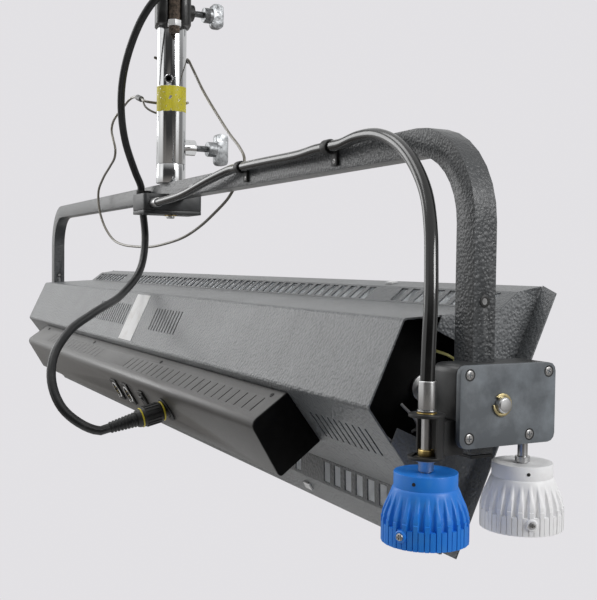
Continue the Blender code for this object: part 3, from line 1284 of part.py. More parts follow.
def power_switch(head):
    """The mains switch: a bezel through the box's face, and its rocker."""
    wide, high = SWITCH_SIZE
    place = back_face() @ at(SWITCH_X, 0, GAP)
    bezel = flat("power_switch", [rounded(rectangle(-wide / 2, wide / 2, -high / 2, high / 2), 0.002)],
                 SWITCH_PROUD, "black_plastic", place, head)
    deep = 0.016
    body = block("body", (wide - 2 * SWITCH_BEZEL - 2 * GAP, high - 2 * SWITCH_BEZEL - 2 * GAP, deep),
                 "black_plastic", place @ at(0, 0, SWITCH_PROUD / 2 - deep / 2), head)
    across, tall = ROCKER_SIZE
    room = block("room", (across + 2 * GAP, tall + 2 * GAP, 0.018), "black_plastic", place @ at(0, 0, 0.001),
                 head)
    join(bezel, body)
    cut(bezel, room)
    axis = pivot("switch_axis", (0, 0, 0))
    axis.parent = head
    axis.rotation_euler = (0, 0, 0)
    axis.matrix_basis = place
    half = tall / 2 - 0.0012
    outline = [(-half, -ROCKER_THICK), (half, -ROCKER_THICK), (half, 0.0012), (0, 0), (-half, 0.0012)]
    tilted = Matrix.Rotation(ROCKER_TILT, 4, "X")
    flat("switch_rocker", [outline], across, "black_plastic",
         tilted @ at(-across / 2, 0, SWITCH_PROUD) @ ALONG_X, axis)


def power_inlet(head):
    """The round power inlet, and the plug that sits in it."""
    place = back_face() @ at(INLET_X, 0, GAP)
    deep = -0.012
    turned("power_inlet", [(INLET_R - 0.0005, FLANGE_THICK), (INLET_R, FLANGE_THICK - 0.0005), (INLET_R, 0),
                           (SOCKET_R, 0), (SOCKET_R, -SOCKET_LENGTH), (INLET_PIN_R, -SOCKET_LENGTH),
                           (INLET_PIN_R, deep), (SOCKET_R - 0.0012, deep), (SOCKET_R - 0.0012, FLANGE_THICK)],
           "black_plastic", place, head)


def inlet_plug(head):
    """The locking plug in the inlet: nose, coupling ring, body and gland."""
    place = back_face() @ at(INLET_X, 0, 0)
    droop = TILT_DOWN + PLUG_DROOP
    way = Vector((0, -math.cos(droop), -math.sin(droop)))
    side = Vector((1, 0, 0))
    where = frame(place.translation, side, -way.cross(side), -way)
    length = PLUG_LENGTH
    turned("inlet_plug", [(0, 0.003), (PLUG_NOSE_R, 0.003), (PLUG_NOSE_R, -0.007), (PLUG_BODY_R, -0.007),
                          (PLUG_BODY_R, -0.026), (PLUG_BODY_R - 0.002, -0.028), (PLUG_BODY_R - 0.002, -0.048),
                          (PLUG_GLAND_R, -0.052), (PLUG_GLAND_R - 0.001, -length), (0, -length)],
           "black_plastic", where, head, steps=18)
    world = head.matrix_world
    end = world @ (place.translation + way * length)
    return end, (world.to_3x3() @ way).normalized()


# Assembly

hanger_casting()
clamp_bolt()
pole_sleeve()
tee_knob("upper_tee_knob", UPPER_KNOB_Z, SLEEVE_R + GAP, UPPER_BOSS_OUT, UPPER_STEM_SHOWS, UPPER_COLLAR,
         UPPER_WING)
tee_knob("lower_tee_knob", SLEEVE_END + LOWER_KNOB_UP, SPIGOT_R + GAP, LOWER_BOSS_OUT, LOWER_STEM_SHOWS,
         LOWER_COLLAR, LOWER_WING)
pan_spindle()
worm_wheel("pan_wheel", at(0, 0, PAN_WORM_Z))
spindle_clip("pan_circlip", at(0, 0, PAN_BOTTOM - GAP - CLIP_THICK))

yoke_tube()
leg_plug("leg_plug_right", LEG_X, TILT_Z - RIGHT_LEG_BELOW)
leg_plug("leg_plug_left", -LEG_X, TILT_Z - LEFT_LEG_BELOW)
pan_case()
pan_cover()
pan_worm()
tilt_case()
tilt_cover()

TILT_INPUT_AXIS = pivot("tilt_input_axis", (TILT_WORM_X, WORM_CENTRES, TILT_Z))
tilt_worm(TILT_INPUT_AXIS)
cup("tilt_cup", WHITE_TOP, "white_plastic", TILT_INPUT_AXIS, TILT_Z)

PAN_INPUT_AXIS = pivot("pan_input_axis", (*BLUE_AXIS, TILT_Z))
cup_bracket()
bush("bush_top", TOP_TAB, TOP_BUSH_RISE, TOP_BUSH_FLANGE)
bush("bush_bottom", BOTTOM_TAB, BOTTOM_BUSH_RISE, BOTTOM_BUSH_FLANGE)
pan_input_shaft(PAN_INPUT_AXIS, TILT_Z)
cup("pan_cup", BLUE_TOP, "blue_plastic", PAN_INPUT_AXIS, TILT_Z)

RING_TOP = TOP_TAB + TOP_BUSH_RISE + 2 * GAP + CLIP_THICK
FERRULE_TOP = RING_TOP + FERRULE_LENGTH
ferrule("bracket_ferrule", at(*BLUE_AXIS, FERRULE_TOP), INPUT_R + RUN)
ferrule("pan_ferrule", at(PAN_WIDTH / 2 + GAP + FERRULE_LENGTH, -WORM_CENTRES, PAN_WORM_Z) @ ALONG_X,
        INPUT_R + RUN)
flex_sheath(FERRULE_TOP - FERRULE_GRIP + GAP)
sheath_clip("sheath_clip_left", CLIP_PLACES[0])
sheath_clip("sheath_clip_right", CLIP_PLACES[1])
lead_clip()
safety_wire()

HEAD = pivot("head_axis", (0, 0, TILT_Z), -TILT_DOWN)
rear_cover(HEAD)
vent("upper_vent", 1, HEAD)
vent("lower_vent", -1, HEAD)
end_plate("end_plate_right", 1, HEAD)
end_plate("end_plate_left", -1, HEAD)
end_cap("end_cap_right", 1, HEAD)
end_cap("end_cap_left", -1, HEAD)
head_inside(HEAD)
head_pivots(HEAD)
driver_box(HEAD)
data_socket("data_in_socket", DATA_SOCKET_X[0], HEAD)
data_socket("data_out_socket", DATA_SOCKET_X[1], HEAD)
power_switch(HEAD)
power_inlet(HEAD)
PLUG_END, PLUG_WAY = inlet_plug(HEAD)
power_leads(PLUG_END, PLUG_WAY)
power_coil()
coil_tie()
bpy.context.view_layer.update()
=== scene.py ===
"""How the LED soft light looks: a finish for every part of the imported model, and its cords, cups and fittings.

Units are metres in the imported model's own frame: X runs along the light, +Z is up, and the hanger's top is
the origin.
"""

import json
import math

import bmesh
import bpy
from mathutils import Matrix, Vector


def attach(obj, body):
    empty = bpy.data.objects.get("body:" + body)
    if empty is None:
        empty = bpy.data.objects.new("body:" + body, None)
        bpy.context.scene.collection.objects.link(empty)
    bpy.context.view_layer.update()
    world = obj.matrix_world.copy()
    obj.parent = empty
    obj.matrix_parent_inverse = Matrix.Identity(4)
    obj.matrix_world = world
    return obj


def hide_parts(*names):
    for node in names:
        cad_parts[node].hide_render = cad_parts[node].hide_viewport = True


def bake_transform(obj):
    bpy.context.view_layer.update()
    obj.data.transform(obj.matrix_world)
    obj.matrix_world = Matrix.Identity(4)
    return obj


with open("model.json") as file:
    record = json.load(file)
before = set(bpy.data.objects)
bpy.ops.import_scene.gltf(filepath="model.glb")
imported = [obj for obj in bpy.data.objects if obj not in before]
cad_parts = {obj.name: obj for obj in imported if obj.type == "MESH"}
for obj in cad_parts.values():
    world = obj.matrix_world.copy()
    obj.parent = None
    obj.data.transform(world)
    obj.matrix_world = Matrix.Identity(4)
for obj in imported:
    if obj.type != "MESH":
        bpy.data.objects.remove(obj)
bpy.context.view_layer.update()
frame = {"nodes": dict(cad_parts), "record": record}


# Camera. It stands beyond the light's right end, a little below the bar's height, and looks back along the
# light from behind it.
camera_place = Vector((1.2568, -0.4439, -0.46))
camera_yaw = 0.4763
camera_pitch = 0.0366
camera_roll = 0.0125
ahead = Vector((-math.cos(camera_yaw) * math.cos(camera_pitch), math.sin(camera_yaw) * math.cos(camera_pitch),
                -math.sin(camera_pitch)))
level = Vector((math.sin(camera_yaw), math.cos(camera_yaw), 0.0))
aside = level * math.cos(camera_roll) + level.cross(ahead) * math.sin(camera_roll)


def in_scene(name, data):
    """A new object with its data, linked into the scene."""
    made = bpy.data.objects.new(name, data)
    bpy.context.scene.collection.objects.link(made)
    return made


camera_data = bpy.data.cameras.new("camera")
camera_data.sensor_width = 36.0
camera_data.lens = 56.09
camera = in_scene("camera", camera_data)
camera.matrix_world = Matrix((aside, aside.cross(ahead), -ahead)).transposed().to_4x4()
camera.location = camera_place
bpy.context.scene.camera = camera


# Studio. A plain pale floor lies well below the hung light, and soft boxes stand round it at fixed compass
# points. The side by the camera is dim, so chrome and gloss paint take one wide dark strip between bright
# ones.
class Value:
    """A socket of a node tree, which Python's operators turn into Math nodes."""

    def __init__(self, nodes, socket):
        self.nodes = nodes
        self.socket = socket

    def __add__(self, other):
        return self.nodes.math("ADD", self, other)

    __radd__ = __add__

    def __rsub__(self, other):
        return self.nodes.math("SUBTRACT", other, self)

    def __mul__(self, other):
        return self.nodes.math("MULTIPLY", self, other)

    def __truediv__(self, other):
        return self.nodes.math("DIVIDE", self, other)


class Nodes:
    """A node tree that is filled in node by node."""

    def __init__(self, tree):
        self.tree = tree

    def add(self, kind, settings=None, sockets=None, take=0):
        """Adds a node with its settings, then its sockets' values or links, and gives one of its outputs."""
        node = self.tree.nodes.new(kind)
        for name, value in (settings or {}).items():
            if name == "stops":
                self.ramp(node.color_ramp, value)
            else:
                setattr(node, name, value)
        for name, value in (sockets or {}).items():
            if isinstance(value, Value):
                self.tree.links.new(value.socket, node.inputs[name])
            else:
                node.inputs[name].default_value = value
        return Value(self, node.outputs[take])

    def ramp(self, ramp, stops):
        """Sets a ramp's grey stops, given as (place, value)."""
        while len(ramp.elements) < len(stops):
            ramp.elements.new(1.0)
        for element, (place, value) in zip(ramp.elements, stops):
            element.position = place
            element.color = (value, value, value, 1.0)

    def math(self, operation, first, second):
        return self.add("ShaderNodeMath", {"operation": operation}, {0: first, 1: second})

    def between(self, value, low, high):
        """0 below low, 1 above high, and even between them."""
        return self.add("ShaderNodeMapRange", None, {"Value": value, "From Min": low, "From Max": high})

    def mix(self, mask, first, second):
        """The first colour where the mask is 0 and the second where it is 1."""
        return self.add("ShaderNodeMix", {"data_type": "RGBA"}, {0: mask, 6: first, 7: second}, 2)

    def axes(self, vector):
        """A vector's three parts."""
        split = self.add("ShaderNodeSeparateXYZ", None, {0: vector}).socket.node
        return [Value(self, output) for output in split.outputs]


def grey(value, warm=0.0):
    """A grey colour, a little towards brown if warm is above 0 and towards blue below."""
    return (value * (1.0 + warm), value, value * (1.0 - warm), 1.0)


# soft boxes and dim walls as (compass direction in degrees from +X towards +Y, brightness)
walls = [(-180, 0.66), (-125, 0.62), (-100, 0.8), (-88, 0.8), (-82, 0.03), (14, 0.03), (19, 0.95),
         (42, 0.95), (48, 0.16), (74, 0.18), (84, 0.42), (150, 0.5), (180, 0.66)]
backdrop = (0.765, 0.755, 0.778)
ceiling = grey(0.55)
ceiling_from, ceiling_full = 0.25, 0.65
below = grey(0.16, 0.06)
below_from, below_full = 0.0, -0.3
room_gain = 1.25
floor_r = 3.2
floor_z = -2.6

studio = bpy.data.worlds.new("studio")
studio.use_nodes = True
bpy.context.scene.world = studio
bpy.context.scene.view_settings.view_transform = "Standard"
room = Nodes(studio.node_tree)
sight = room.add("ShaderNodeTexCoord", take="Generated")
east, north, height = room.axes(sight)
compass = room.math("ARCTAN2", north, east) / (2.0 * math.pi) + 0.5
stops = [((degrees + 180.0) / 360.0, value) for degrees, value in walls]
wall_light = room.add("ShaderNodeValToRGB", {"stops": stops}, {"Fac": compass})
light = room.mix(room.between(height, ceiling_from, ceiling_full), wall_light, ceiling)
light = room.mix(room.between(height, below_from, below_full), light, below)
camera_ray = room.add("ShaderNodeLightPath", take="Is Camera Ray")
background = studio.node_tree.nodes["Background"]
seen = room.mix(camera_ray, light, (*(channel / room_gain for channel in backdrop), 1.0))
studio.node_tree.links.new(seen.socket, background.inputs["Color"])
background.inputs["Strength"].default_value = room_gain


def mesh_of(name, work):
    """The mesh of a bmesh, which is ended."""
    mesh = bpy.data.meshes.new(name)
    work.to_mesh(mesh)
    work.free()
    return mesh


sheet = bmesh.new()
bmesh.ops.create_circle(sheet, cap_ends=True, segments=96, radius=floor_r)
bmesh.ops.translate(sheet, vec=(0.0, 0.0, floor_z), verts=sheet.verts)
floor = in_scene("floor", mesh_of("floor", sheet))
floor_paper = bpy.data.materials.new("floor_paper")
floor_paper.use_nodes = True
floor_shader = floor_paper.node_tree.nodes["Principled BSDF"]
floor_shader.inputs["Base Color"].default_value = grey(0.82)
floor_shader.inputs["Roughness"].default_value = 0.9
floor.data.materials.append(floor_paper)


def soft_box(name, place, aim, size, power):
    """An area light that faces its aim."""
    lamp = bpy.data.lights.new(name, "AREA")
    lamp.shape = "RECTANGLE"
    lamp.size, lamp.size_y = size
    lamp.energy = power
    holder = in_scene(name, lamp)
    holder.location = place
    holder.rotation_euler = (Vector(aim) - Vector(place)).to_track_quat("-Z", "Y").to_euler()


soft_box("overhead_box", (-0.6, -0.9, 1.7), (0.0, 0.0, -0.5), (1.8, 1.0), 16.0)
soft_box("rear_box", (-2.4, -1.4, 0.5), (0.0, 0.0, -0.5), (1.2, 1.6), 16.0)
soft_box("side_box", (3.0, 1.2, 1.0), (0.6, 0.0, -0.5), (1.4, 0.8), 42.0)


# Power lead. Black rubber flex runs from the inlet plug up to the clip on the bar, then past the pole
# sleeve to the hanger's neck, where the rest of its length is coiled and tied out of the picture.
class Finish(Nodes):
    """A procedural material round one Principled shader."""

    def __init__(self, name, slot):
        self.slot = slot
        self.material = bpy.data.materials.new(name)
        self.material.use_nodes = True
        super().__init__(self.material.node_tree)
        self.shader = self.tree.nodes["Principled BSDF"]
        self.place = self.add("ShaderNodeTexCoord", take="Object")

    def noise(self, scale, detail=3.0, roughness=0.5, place=None):
        """Cloudy variation, with its scale in lumps to the metre."""
        sockets = {"Vector": place or self.place, "Scale": scale, "Detail": detail, "Roughness": roughness}
        return self.add("ShaderNodeTexNoise", None, sockets)

    def streaks(self, detail, *scales):
        """Noise with its own scale along each axis."""
        place = self.add("ShaderNodeVectorMath", {"operation": "MULTIPLY"}, {0: self.place, 1: scales})
        return self.noise(1.0, detail, 0.6, place)

    def patches(self, scale, low, high, detail=3.0, roughness=0.5):
        """Cloudy patches: 0 where the noise is below low, 1 where it is above high."""
        return self.between(self.noise(scale, detail, roughness), low, high)

    def cells(self, scale, smooth):
        """Rounded cells: the distance from each one's middle."""
        sockets = {"Vector": self.place, "Scale": scale, "Smoothness": smooth}
        return self.add("ShaderNodeTexVoronoi", {"feature": "SMOOTH_F1"}, sockets, "Distance")

    def surface(self, colour, roughness, metallic=0.0, relief=None, depth=0.0001, **fixed):
        """Feeds the shader; relief is a height pattern of the given depth."""
        for name, value in (("Base Color", colour), ("Roughness", roughness), ("Metallic", metallic)):
            if isinstance(value, Value):
                self.tree.links.new(value.socket, self.shader.inputs[name])
            else:
                self.shader.inputs[name].default_value = value
        if relief is not None:
            bump = self.add("ShaderNodeBump", None, {"Height": relief, "Distance": depth})
            self.tree.links.new(bump.socket, self.shader.inputs["Normal"])
        for name, value in fixed.items():
            title = name.replace("_", " ").title().replace("Ior", "IOR")
            self.shader.inputs[title].default_value = value
        return self


def worn(name, slot, patches, first, second, dull, duller=0.0, metallic=0.0, grain=None, depth=0.0, **fixed):
    """A finish whose colour and dullness change in cloudy patches, over a fine grain."""
    made = Finish(name, slot)
    mask = made.patches(*patches)
    relief = made.noise(grain) if grain else None
    return made.surface(made.mix(mask, first, second), dull + mask * duller, metallic, relief, depth, **fixed)


def put(name, mesh, finish, body=None):
    """Links a piece, gives it its finish, and lets it ride on its body."""
    mesh.materials.clear()
    mesh.materials.append(finish.material)
    piece = in_scene(name, mesh)
    if body:
        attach(piece, body)
    return piece


def plain_mesh(source):
    """A modified object's or curve's result as a plain mesh; the source is removed."""
    bpy.context.view_layer.update()
    evaluated = source.evaluated_get(bpy.context.evaluated_depsgraph_get())
    mesh = bpy.data.meshes.new_from_object(evaluated)
    bpy.data.objects.remove(source)
    return mesh


def round_tube(points, radius, sides=20):
    """A round tube's mesh along the points, with closed ends."""
    curve = bpy.data.curves.new("tube", "CURVE")
    curve.dimensions = "3D"
    curve.bevel_depth = radius
    curve.bevel_resolution = (sides - 4) // 2
    curve.use_fill_caps = True
    spline = curve.splines.new("POLY")
    spline.points.add(len(points) - 1)
    for point, place in zip(spline.points, points):
        point.co = (*place, 1.0)
    return plain_mesh(in_scene("tube", curve))


def smooth_route(corners, spacing):
    """Evenly spaced points on a smooth curve through a route; its first and last runs stay straight."""
    route = [Vector(corner) for corner in corners]
    fine = [route[1]]
    for p0, p1, p2, p3 in zip(route, route[1:], route[2:], route[3:]):
        k0, k1, k2 = ((p1 - p0).length ** 0.5, (p2 - p1).length ** 0.5, (p3 - p2).length ** 0.5)
        slope1 = (p1 - p0) / k0 - (p2 - p0) / (k0 + k1) + (p2 - p1) / k1
        slope2 = (p2 - p1) / k1 - (p3 - p1) / (k1 + k2) + (p3 - p2) / k2
        for step in range(1, 25):
            t = step / 24
            place = (2 * t ** 3 - 3 * t ** 2 + 1) * p1 + (t ** 3 - 2 * t ** 2 + t) * k1 * slope1
            place += (3 * t ** 2 - 2 * t ** 3) * p2 + (t ** 3 - t ** 2) * k1 * slope2
            fine.append(place)
    points = [route[0], fine[0]]
    for place in fine[1:]:
        if (place - points[-1]).length >= spacing:
            points.append(place)
    if (points[-1] - fine[-1]).length < spacing / 2:
        points.pop()
    return points + [fine[-1], route[-1]]


def run_length(points):
    """The length of a line of points."""
    return sum((b - a).length for a, b in zip(points, points[1:]))


lead_r = 0.00525
lead_gap = 0.0003
route_step = 0.006
plug_end = Vector((0.2316, -0.15184, -0.64465))
plug_way = Vector((0.0, -0.9703, -0.24192))
lead_clip_place = Vector((-0.064, -0.0228, -0.3585))
casting_turn = math.radians(-13.5)

lead_rubber = worn("lead_rubber", "cord_rubber", (60.0, 0.52, 0.75, 5.0, 0.7), grey(0.011, -0.08),
                   grey(0.028), 0.36, 0.2, grain=900.0, depth=0.00004)

lower_corners = [
    (0.2273, -0.1804, -0.6407), (0.2165, -0.2011, -0.6222), (0.2013, -0.2094, -0.596),
    (0.1817, -0.2036, -0.568), (0.1515, -0.1793, -0.5417), (0.0943, -0.134, -0.5224),
    (0.0167, -0.0736, -0.501), (-0.0247, -0.0355, -0.4671), (-0.0487, -0.0212, -0.4258),
    (-0.061, -0.0204, -0.3881)]
lower_start = plug_end + plug_way * lead_gap
lower_corners = [lower_start, lower_start + plug_way * 2 * lead_r] + lower_corners
lower_corners += [lead_clip_place - Vector((0, 0, down)) for down in (2 * lead_r, lead_gap / 2)]
lower_path = smooth_route(lower_corners, route_step)
lower_flex = put("lower_flex", round_tube(lower_path, lead_r), lead_rubber)
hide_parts("lower_lead")
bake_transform(lower_flex)

upper_corners = [
    (-0.0648, -0.0317, -0.3265), (-0.0592, -0.0482, -0.2848), (-0.0455, -0.0585, -0.2438),
    (-0.0265, -0.0626, -0.2045), (-0.0042, -0.0596, -0.166), (0.0181, -0.0499, -0.1293),
    (0.0337, -0.0362, -0.1041)]
coil_z = -0.0425
coil_layer = 0.0113
coil_pitch = 0.0111
coil_inner_r = 0.0445
coil_loops = 4.5
coil_start_turn = math.radians(110.0)
coil_points = 36


def round_neck(radius, angle, height):
    """A place round the hanger's neck, measured from the casting's slot."""
    return Vector((radius * math.cos(angle + casting_turn), radius * math.sin(angle + casting_turn), height))


def coil_point(turns):
    """A place on the coil: it winds in below, climbs a layer, and winds out again above."""
    from_middle = turns - coil_loops / 2
    climb = min(max(from_middle * 2 + 0.5, 0.0), 1.0)
    return round_neck(coil_inner_r + coil_pitch * abs(from_middle), coil_start_turn + 2 * math.pi * turns,
                      coil_z + coil_layer * (3 * climb ** 2 - 2 * climb ** 3))


def coil_way(turns):
    """The coil's direction a number of turns along it."""
    return (coil_point(turns + 0.001) - coil_point(turns - 0.001)).normalized()


way_in = coil_way(0.002)
way_in.z = 0.0
way_in.normalize()
coil_in = coil_point(0.0) - way_in * 2 * lead_r
for angle, radius, height_up in ((-8, 0.049, -0.086), (22, 0.056, -0.072), (52, 0.064, -0.061),
                                 (80, 0.0695, -0.05)):
    upper_corners.append(round_neck(radius, math.radians(angle), height_up))
clip_exit = [lead_clip_place + Vector((0, 0, up)) for up in (lead_gap / 2, 2 * lead_r)]
upper_corners = clip_exit + upper_corners + [coil_in - way_in * (2 * lead_r + lead_gap), coil_in]
way_out = coil_way(coil_loops - 0.002)
coil_side = way_out.cross(Vector((0, 0, 1)))
coil_tail = [coil_point(coil_loops) + way_out * along + coil_side * out
             for along, out in ((0.012, 0.001), (0.023, 0.005), (0.033, 0.011), (0.042, 0.018))]
tail_way = (coil_tail[-1] - coil_tail[-2]).normalized()
coil_run = [coil_point(k / coil_points) for k in range(round(coil_loops * coil_points) + 1)]
coil_tail.append(coil_tail[-1] + tail_way * 2 * lead_r)
upper_path = smooth_route(upper_corners, route_step) + coil_run + coil_tail
upper_flex = put("upper_flex", round_tube(upper_path, lead_r), lead_rubber)
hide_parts("upper_lead", "power_coil")
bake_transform(upper_flex)


# Black rubber and nylon fittings on the lead: the supply plug, the strap round the coil and the clip on the
# bar. They keep their turned and moulded shapes from the model, with their edges eased.
body_of = {node: body for body, nodes in frame["record"]["behaviour"]["bodies"].items() for node in nodes}


def eased(node, finish, edge=0.0004, extra=()):
    """A node's shape, less any cutters, as one smooth piece with eased edges, which stands for the node."""
    work = bmesh.new()
    work.from_mesh(frame["nodes"][node].data)
    bmesh.ops.remove_doubles(work, verts=work.verts, dist=0.00001)
    bmesh.ops.dissolve_limit(work, angle_limit=math.radians(0.5), verts=work.verts, edges=work.edges)
    mesh = mesh_of(node + "_finished", work)
    shaped = in_scene(node, mesh)
    for cutter in extra:
        shaped.modifiers.new("cut", "BOOLEAN").object = cutter
    easing = shaped.modifiers.new("easing", "BEVEL")
    easing.width = edge
    easing.segments = 2
    easing.limit_method = "ANGLE"
    easing.angle_limit = math.radians(32.0)
    mesh.shade_smooth()
    result = plain_mesh(shaped)
    result.shade_smooth()
    result.set_sharp_from_angle(angle=math.radians(30.0))
    piece = put(node + "_finished", result, finish, body_of[node])
    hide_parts(node)
    return piece


def ease_all(finish, edge, *nodes):
    """Gives like nodes their finish and eased edges."""
    for node in nodes:
        eased(node, finish, edge)


moulded_black = Finish("moulded_black", "black_plastic")
moulded_black.surface(grey(0.014), 0.42 + moulded_black.noise(40.0) * 0.15,
                      relief=moulded_black.noise(1400.0), depth=0.00003)
supply_plug = eased("power_plug", moulded_black)
coil_strap = eased("coil_tie", moulded_black, 0.0002)
eased("lead_clip", moulded_black)
run_length(upper_path)


# Hanger casting. A black-painted split clamp: its two cheeks close on the pole sleeve when the upright bolt
# and the upper knob are tightened. The paint is thick and a little dusty over a sand-cast grain.
def dress(finish, *nodes):
    """Gives CAD nodes whose shape is right their finish."""
    for node in nodes:
        for slot in frame["nodes"][node].material_slots:
            slot.material = finish.material


cast_paint = Finish("cast_paint", "cast_black")
cast_dust = cast_paint.patches(45.0, 0.45, 0.8, 5.0, 0.65)
cast_paint.surface(cast_paint.mix(cast_dust, grey(0.012), grey(0.04)), 0.36 + cast_dust * 0.22,
                   relief=cast_paint.noise(520.0, 4.0, 0.6), depth=0.00035, coat_weight=0.25)
eased("hanger_casting", cast_paint, 0.001)


# Clamp bolt. A rusty stud stands between the cheeks, with a bright zinc nut on it and a dark threaded end
# below.
nut_bottom, nut_top = -0.1355, -0.1271
thread_pitch = 0.00175
sharp = 0.0001
rusty_stud = Finish("rusty_stud", "bright_steel")
stud_z = rusty_stud.axes(rusty_stud.place)[2]
on_nut = rusty_stud.between(stud_z, nut_bottom, nut_bottom + sharp) \
    * rusty_stud.between(stud_z, nut_top, nut_top - sharp)
stud_thread = rusty_stud.math("SINE", stud_z * (2 * math.pi / thread_pitch), 0.0) * (1.0 - on_nut)
rust = rusty_stud.patches(260.0, 0.4, 0.62, 5.0, 0.7)
rust_colour = rusty_stud.mix(rust, grey(0.035, 0.25), (0.2, 0.15, 0.115, 1.0))
rusty_stud.surface(rusty_stud.mix(on_nut, rust_colour, grey(0.9)), 0.62 - on_nut * 0.2,
                   0.25 + on_nut * 0.15, stud_thread, 0.0004)
eased("clamp_bolt", rusty_stud, 0.0006)


# Pole sleeve and pivot collar. Bright chromed steel tube with fine scratches and pits; a band of worn
# yellow tape marks its height, and a small set screw stops it turning.
tape_bottom, tape_top = -0.248, -0.213
tape_ragged = 0.004
sleeve_r = 0.0205
set_screw_z = -0.2042
worn_chrome = Finish("worn_chrome", "chrome")
ragged_z = worn_chrome.axes(worn_chrome.place)[2] + worn_chrome.noise(160.0, 4.0, 0.6) * tape_ragged
taped = worn_chrome.between(ragged_z, tape_bottom + 0.0018, tape_bottom + 0.0022) \
    * worn_chrome.between(ragged_z, tape_top + 0.0022, tape_top + 0.0018)
flecks = worn_chrome.patches(330.0, 0.63, 0.65, 3.0, 0.7)
rubbed = worn_chrome.patches(90.0, 0.67, 0.69, 3.0, 0.5)
tape = taped * (1.0 - flecks) * (1.0 - rubbed)
pits = worn_chrome.patches(420.0, 0.7, 0.74, 2.0, 0.5)
scratches = worn_chrome.streaks(4.0, 500.0, 500.0, 24.0)
yellowed = worn_chrome.mix(worn_chrome.noise(60.0), (0.56, 0.49, 0.02, 1.0), (0.8, 0.71, 0.05, 1.0))
bare = worn_chrome.mix(pits, grey(0.8, -0.01), grey(0.2, 0.05))
worn_chrome.surface(worn_chrome.mix(tape, bare, yellowed), 0.07 + scratches * 0.1 + tape * 0.4, 1.0 - tape,
                    tape + scratches * 0.02, 0.00015)
eased("pole_sleeve", worn_chrome, 0.0006)
eased("pan_spindle", worn_chrome, 0.0008)


def lathe(profile, where=Matrix(), sides=32):
    """A turned mesh of (radius, height) points, which end on the axis or close on themselves."""
    work = bmesh.new()
    rings = []
    for radius, height in profile:
        if radius == 0.0:
            rings.append([work.verts.new((0.0, 0.0, height))] * sides)
        else:
            turns = [2 * math.pi * k / sides for k in range(sides)]
            ring = [(radius * math.cos(a), radius * math.sin(a), height) for a in turns]
            rings.append([work.verts.new(place) for place in ring])
    if profile[0][0] > 0.0:
        rings.append(rings[0])
    for first, second in zip(rings, rings[1:]):
        for k in range(sides):
            after = (k + 1) % sides
            corners = dict.fromkeys((first[k], first[after], second[after], second[k]))
            if len(corners) > 2:
                work.faces.new(list(corners))
    bmesh.ops.recalc_face_normals(work, faces=work.faces)
    work.transform(where)
    mesh = mesh_of("turned", work)
    mesh.shade_smooth()
    mesh.set_sharp_from_angle(angle=math.radians(35.0))
    return mesh


def compass_way(degrees):
    """A level direction, in degrees from +X towards +Y."""
    return Vector((math.cos(math.radians(degrees)), math.sin(math.radians(degrees)), 0.0))


def facing(place, out, turn=0.0):
    """A frame at a place whose own Z points out."""
    aim = Vector(out).to_track_quat("Z", "Y").to_matrix().to_4x4()
    return Matrix.Translation(place) @ aim @ Matrix.Rotation(turn, 4, "Z")


screw_steel = worn("screw_steel", "bright_steel", (700.0, 0.4, 0.7, 3.0, 0.6), grey(0.55), grey(0.22, 0.06),
                   0.3, 0.25, 0.9)
set_way = compass_way(-30.0)
set_ring = lathe([(0.0036, 0.0016), (0.0052, 0.0016), (0.006, 0.0008), (0.006, -0.0016), (0.0036, -0.0016)],
                 facing(set_way * sleeve_r + Vector((0.0, 0.0, set_screw_z)), set_way), 24)
put("set_screw_ring", set_ring, worn_chrome, "hanger")


# Clamp knobs. Cast zinc wings on threaded studs: the upper one closes the casting, the lower one the
# sleeve's boss. Both are dull grey, rubbed brighter where hands turn them.
stud_pitch = 0.0015
stud_end = 0.0545
cast_zinc = Finish("cast_zinc", "bright_steel")
zinc_y = cast_zinc.axes(cast_zinc.place)[1]
grime = cast_zinc.patches(130.0, 0.42, 0.68, 5.0, 0.7)
studded = cast_zinc.math("SINE", zinc_y * (2 * math.pi / stud_pitch), 0.0) \
    * cast_zinc.between(zinc_y, stud_end, stud_end - 0.0005)
cast_zinc.surface(cast_zinc.mix(grime, grey(0.44, -0.03), grey(0.13, -0.02)), 0.36 + grime * 0.2, 0.85,
                  studded + cast_zinc.noise(900.0) * 0.3, 0.00035)
ease_all(cast_zinc, 0.0016, "upper_tee_knob", "lower_tee_knob")


# Yoke. One square steel tube bent to a U and stove-painted a textured black; plugs close its legs, and a
# small insert lines the cross hole in each leg.
def textured_paint(name, slot, dark, light, dull, grain=430.0, depth=0.001):
    """Hammered stove paint: rounded lumps, about 2 mm across at the usual grain, and paler in patches."""
    made = Finish(name, slot)
    lumps = made.cells(grain, 0.9)
    patches = made.patches(14.0, 0.35, 0.7, 5.0, 0.6)
    made.surface(made.mix(patches, dark, light), dull + lumps * 0.14, 0.0,
                 lumps + made.noise(1500.0) * 0.25, depth, coat_weight=0.35, coat_roughness=0.28)
    return made


yoke_paint = textured_paint("hammered_black", "yoke_paint", grey(0.036, -0.08), grey(0.064, -0.07), 0.28)
eased("yoke_tube", yoke_paint, 0.0014)
ease_all(moulded_black, 0.0005, "leg_plug_right", "leg_plug_left")
hole_z = -0.4849
leg_out, leg_in = 0.7, 0.6774
insert_rim = [(0.0026, 0.0005), (0.0042, 0.0006), (0.0047, 0.0003), (0.0047, -0.0003), (0.0026, -0.0006)]
insert_core = [(0.0, 0.0001), (0.0027, 0.0001), (0.0027, -0.002), (0.0, -0.002)]
insert_grey = worn("insert_grey", "black_plastic", (300.0, 0.3, 0.7), grey(0.2), grey(0.34), 0.5)
for out, face in ((1, leg_out), (-1, leg_in), (-1, -leg_out), (1, -leg_in)):
    at_hole = facing((face, 0.0, hole_z), (out, 0.0, 0.0))
    put("insert_rim", lathe(insert_rim, at_hole, 24), moulded_black, "yoke")
    put("insert_core", lathe(insert_core, at_hole, 24), insert_grey, "yoke")


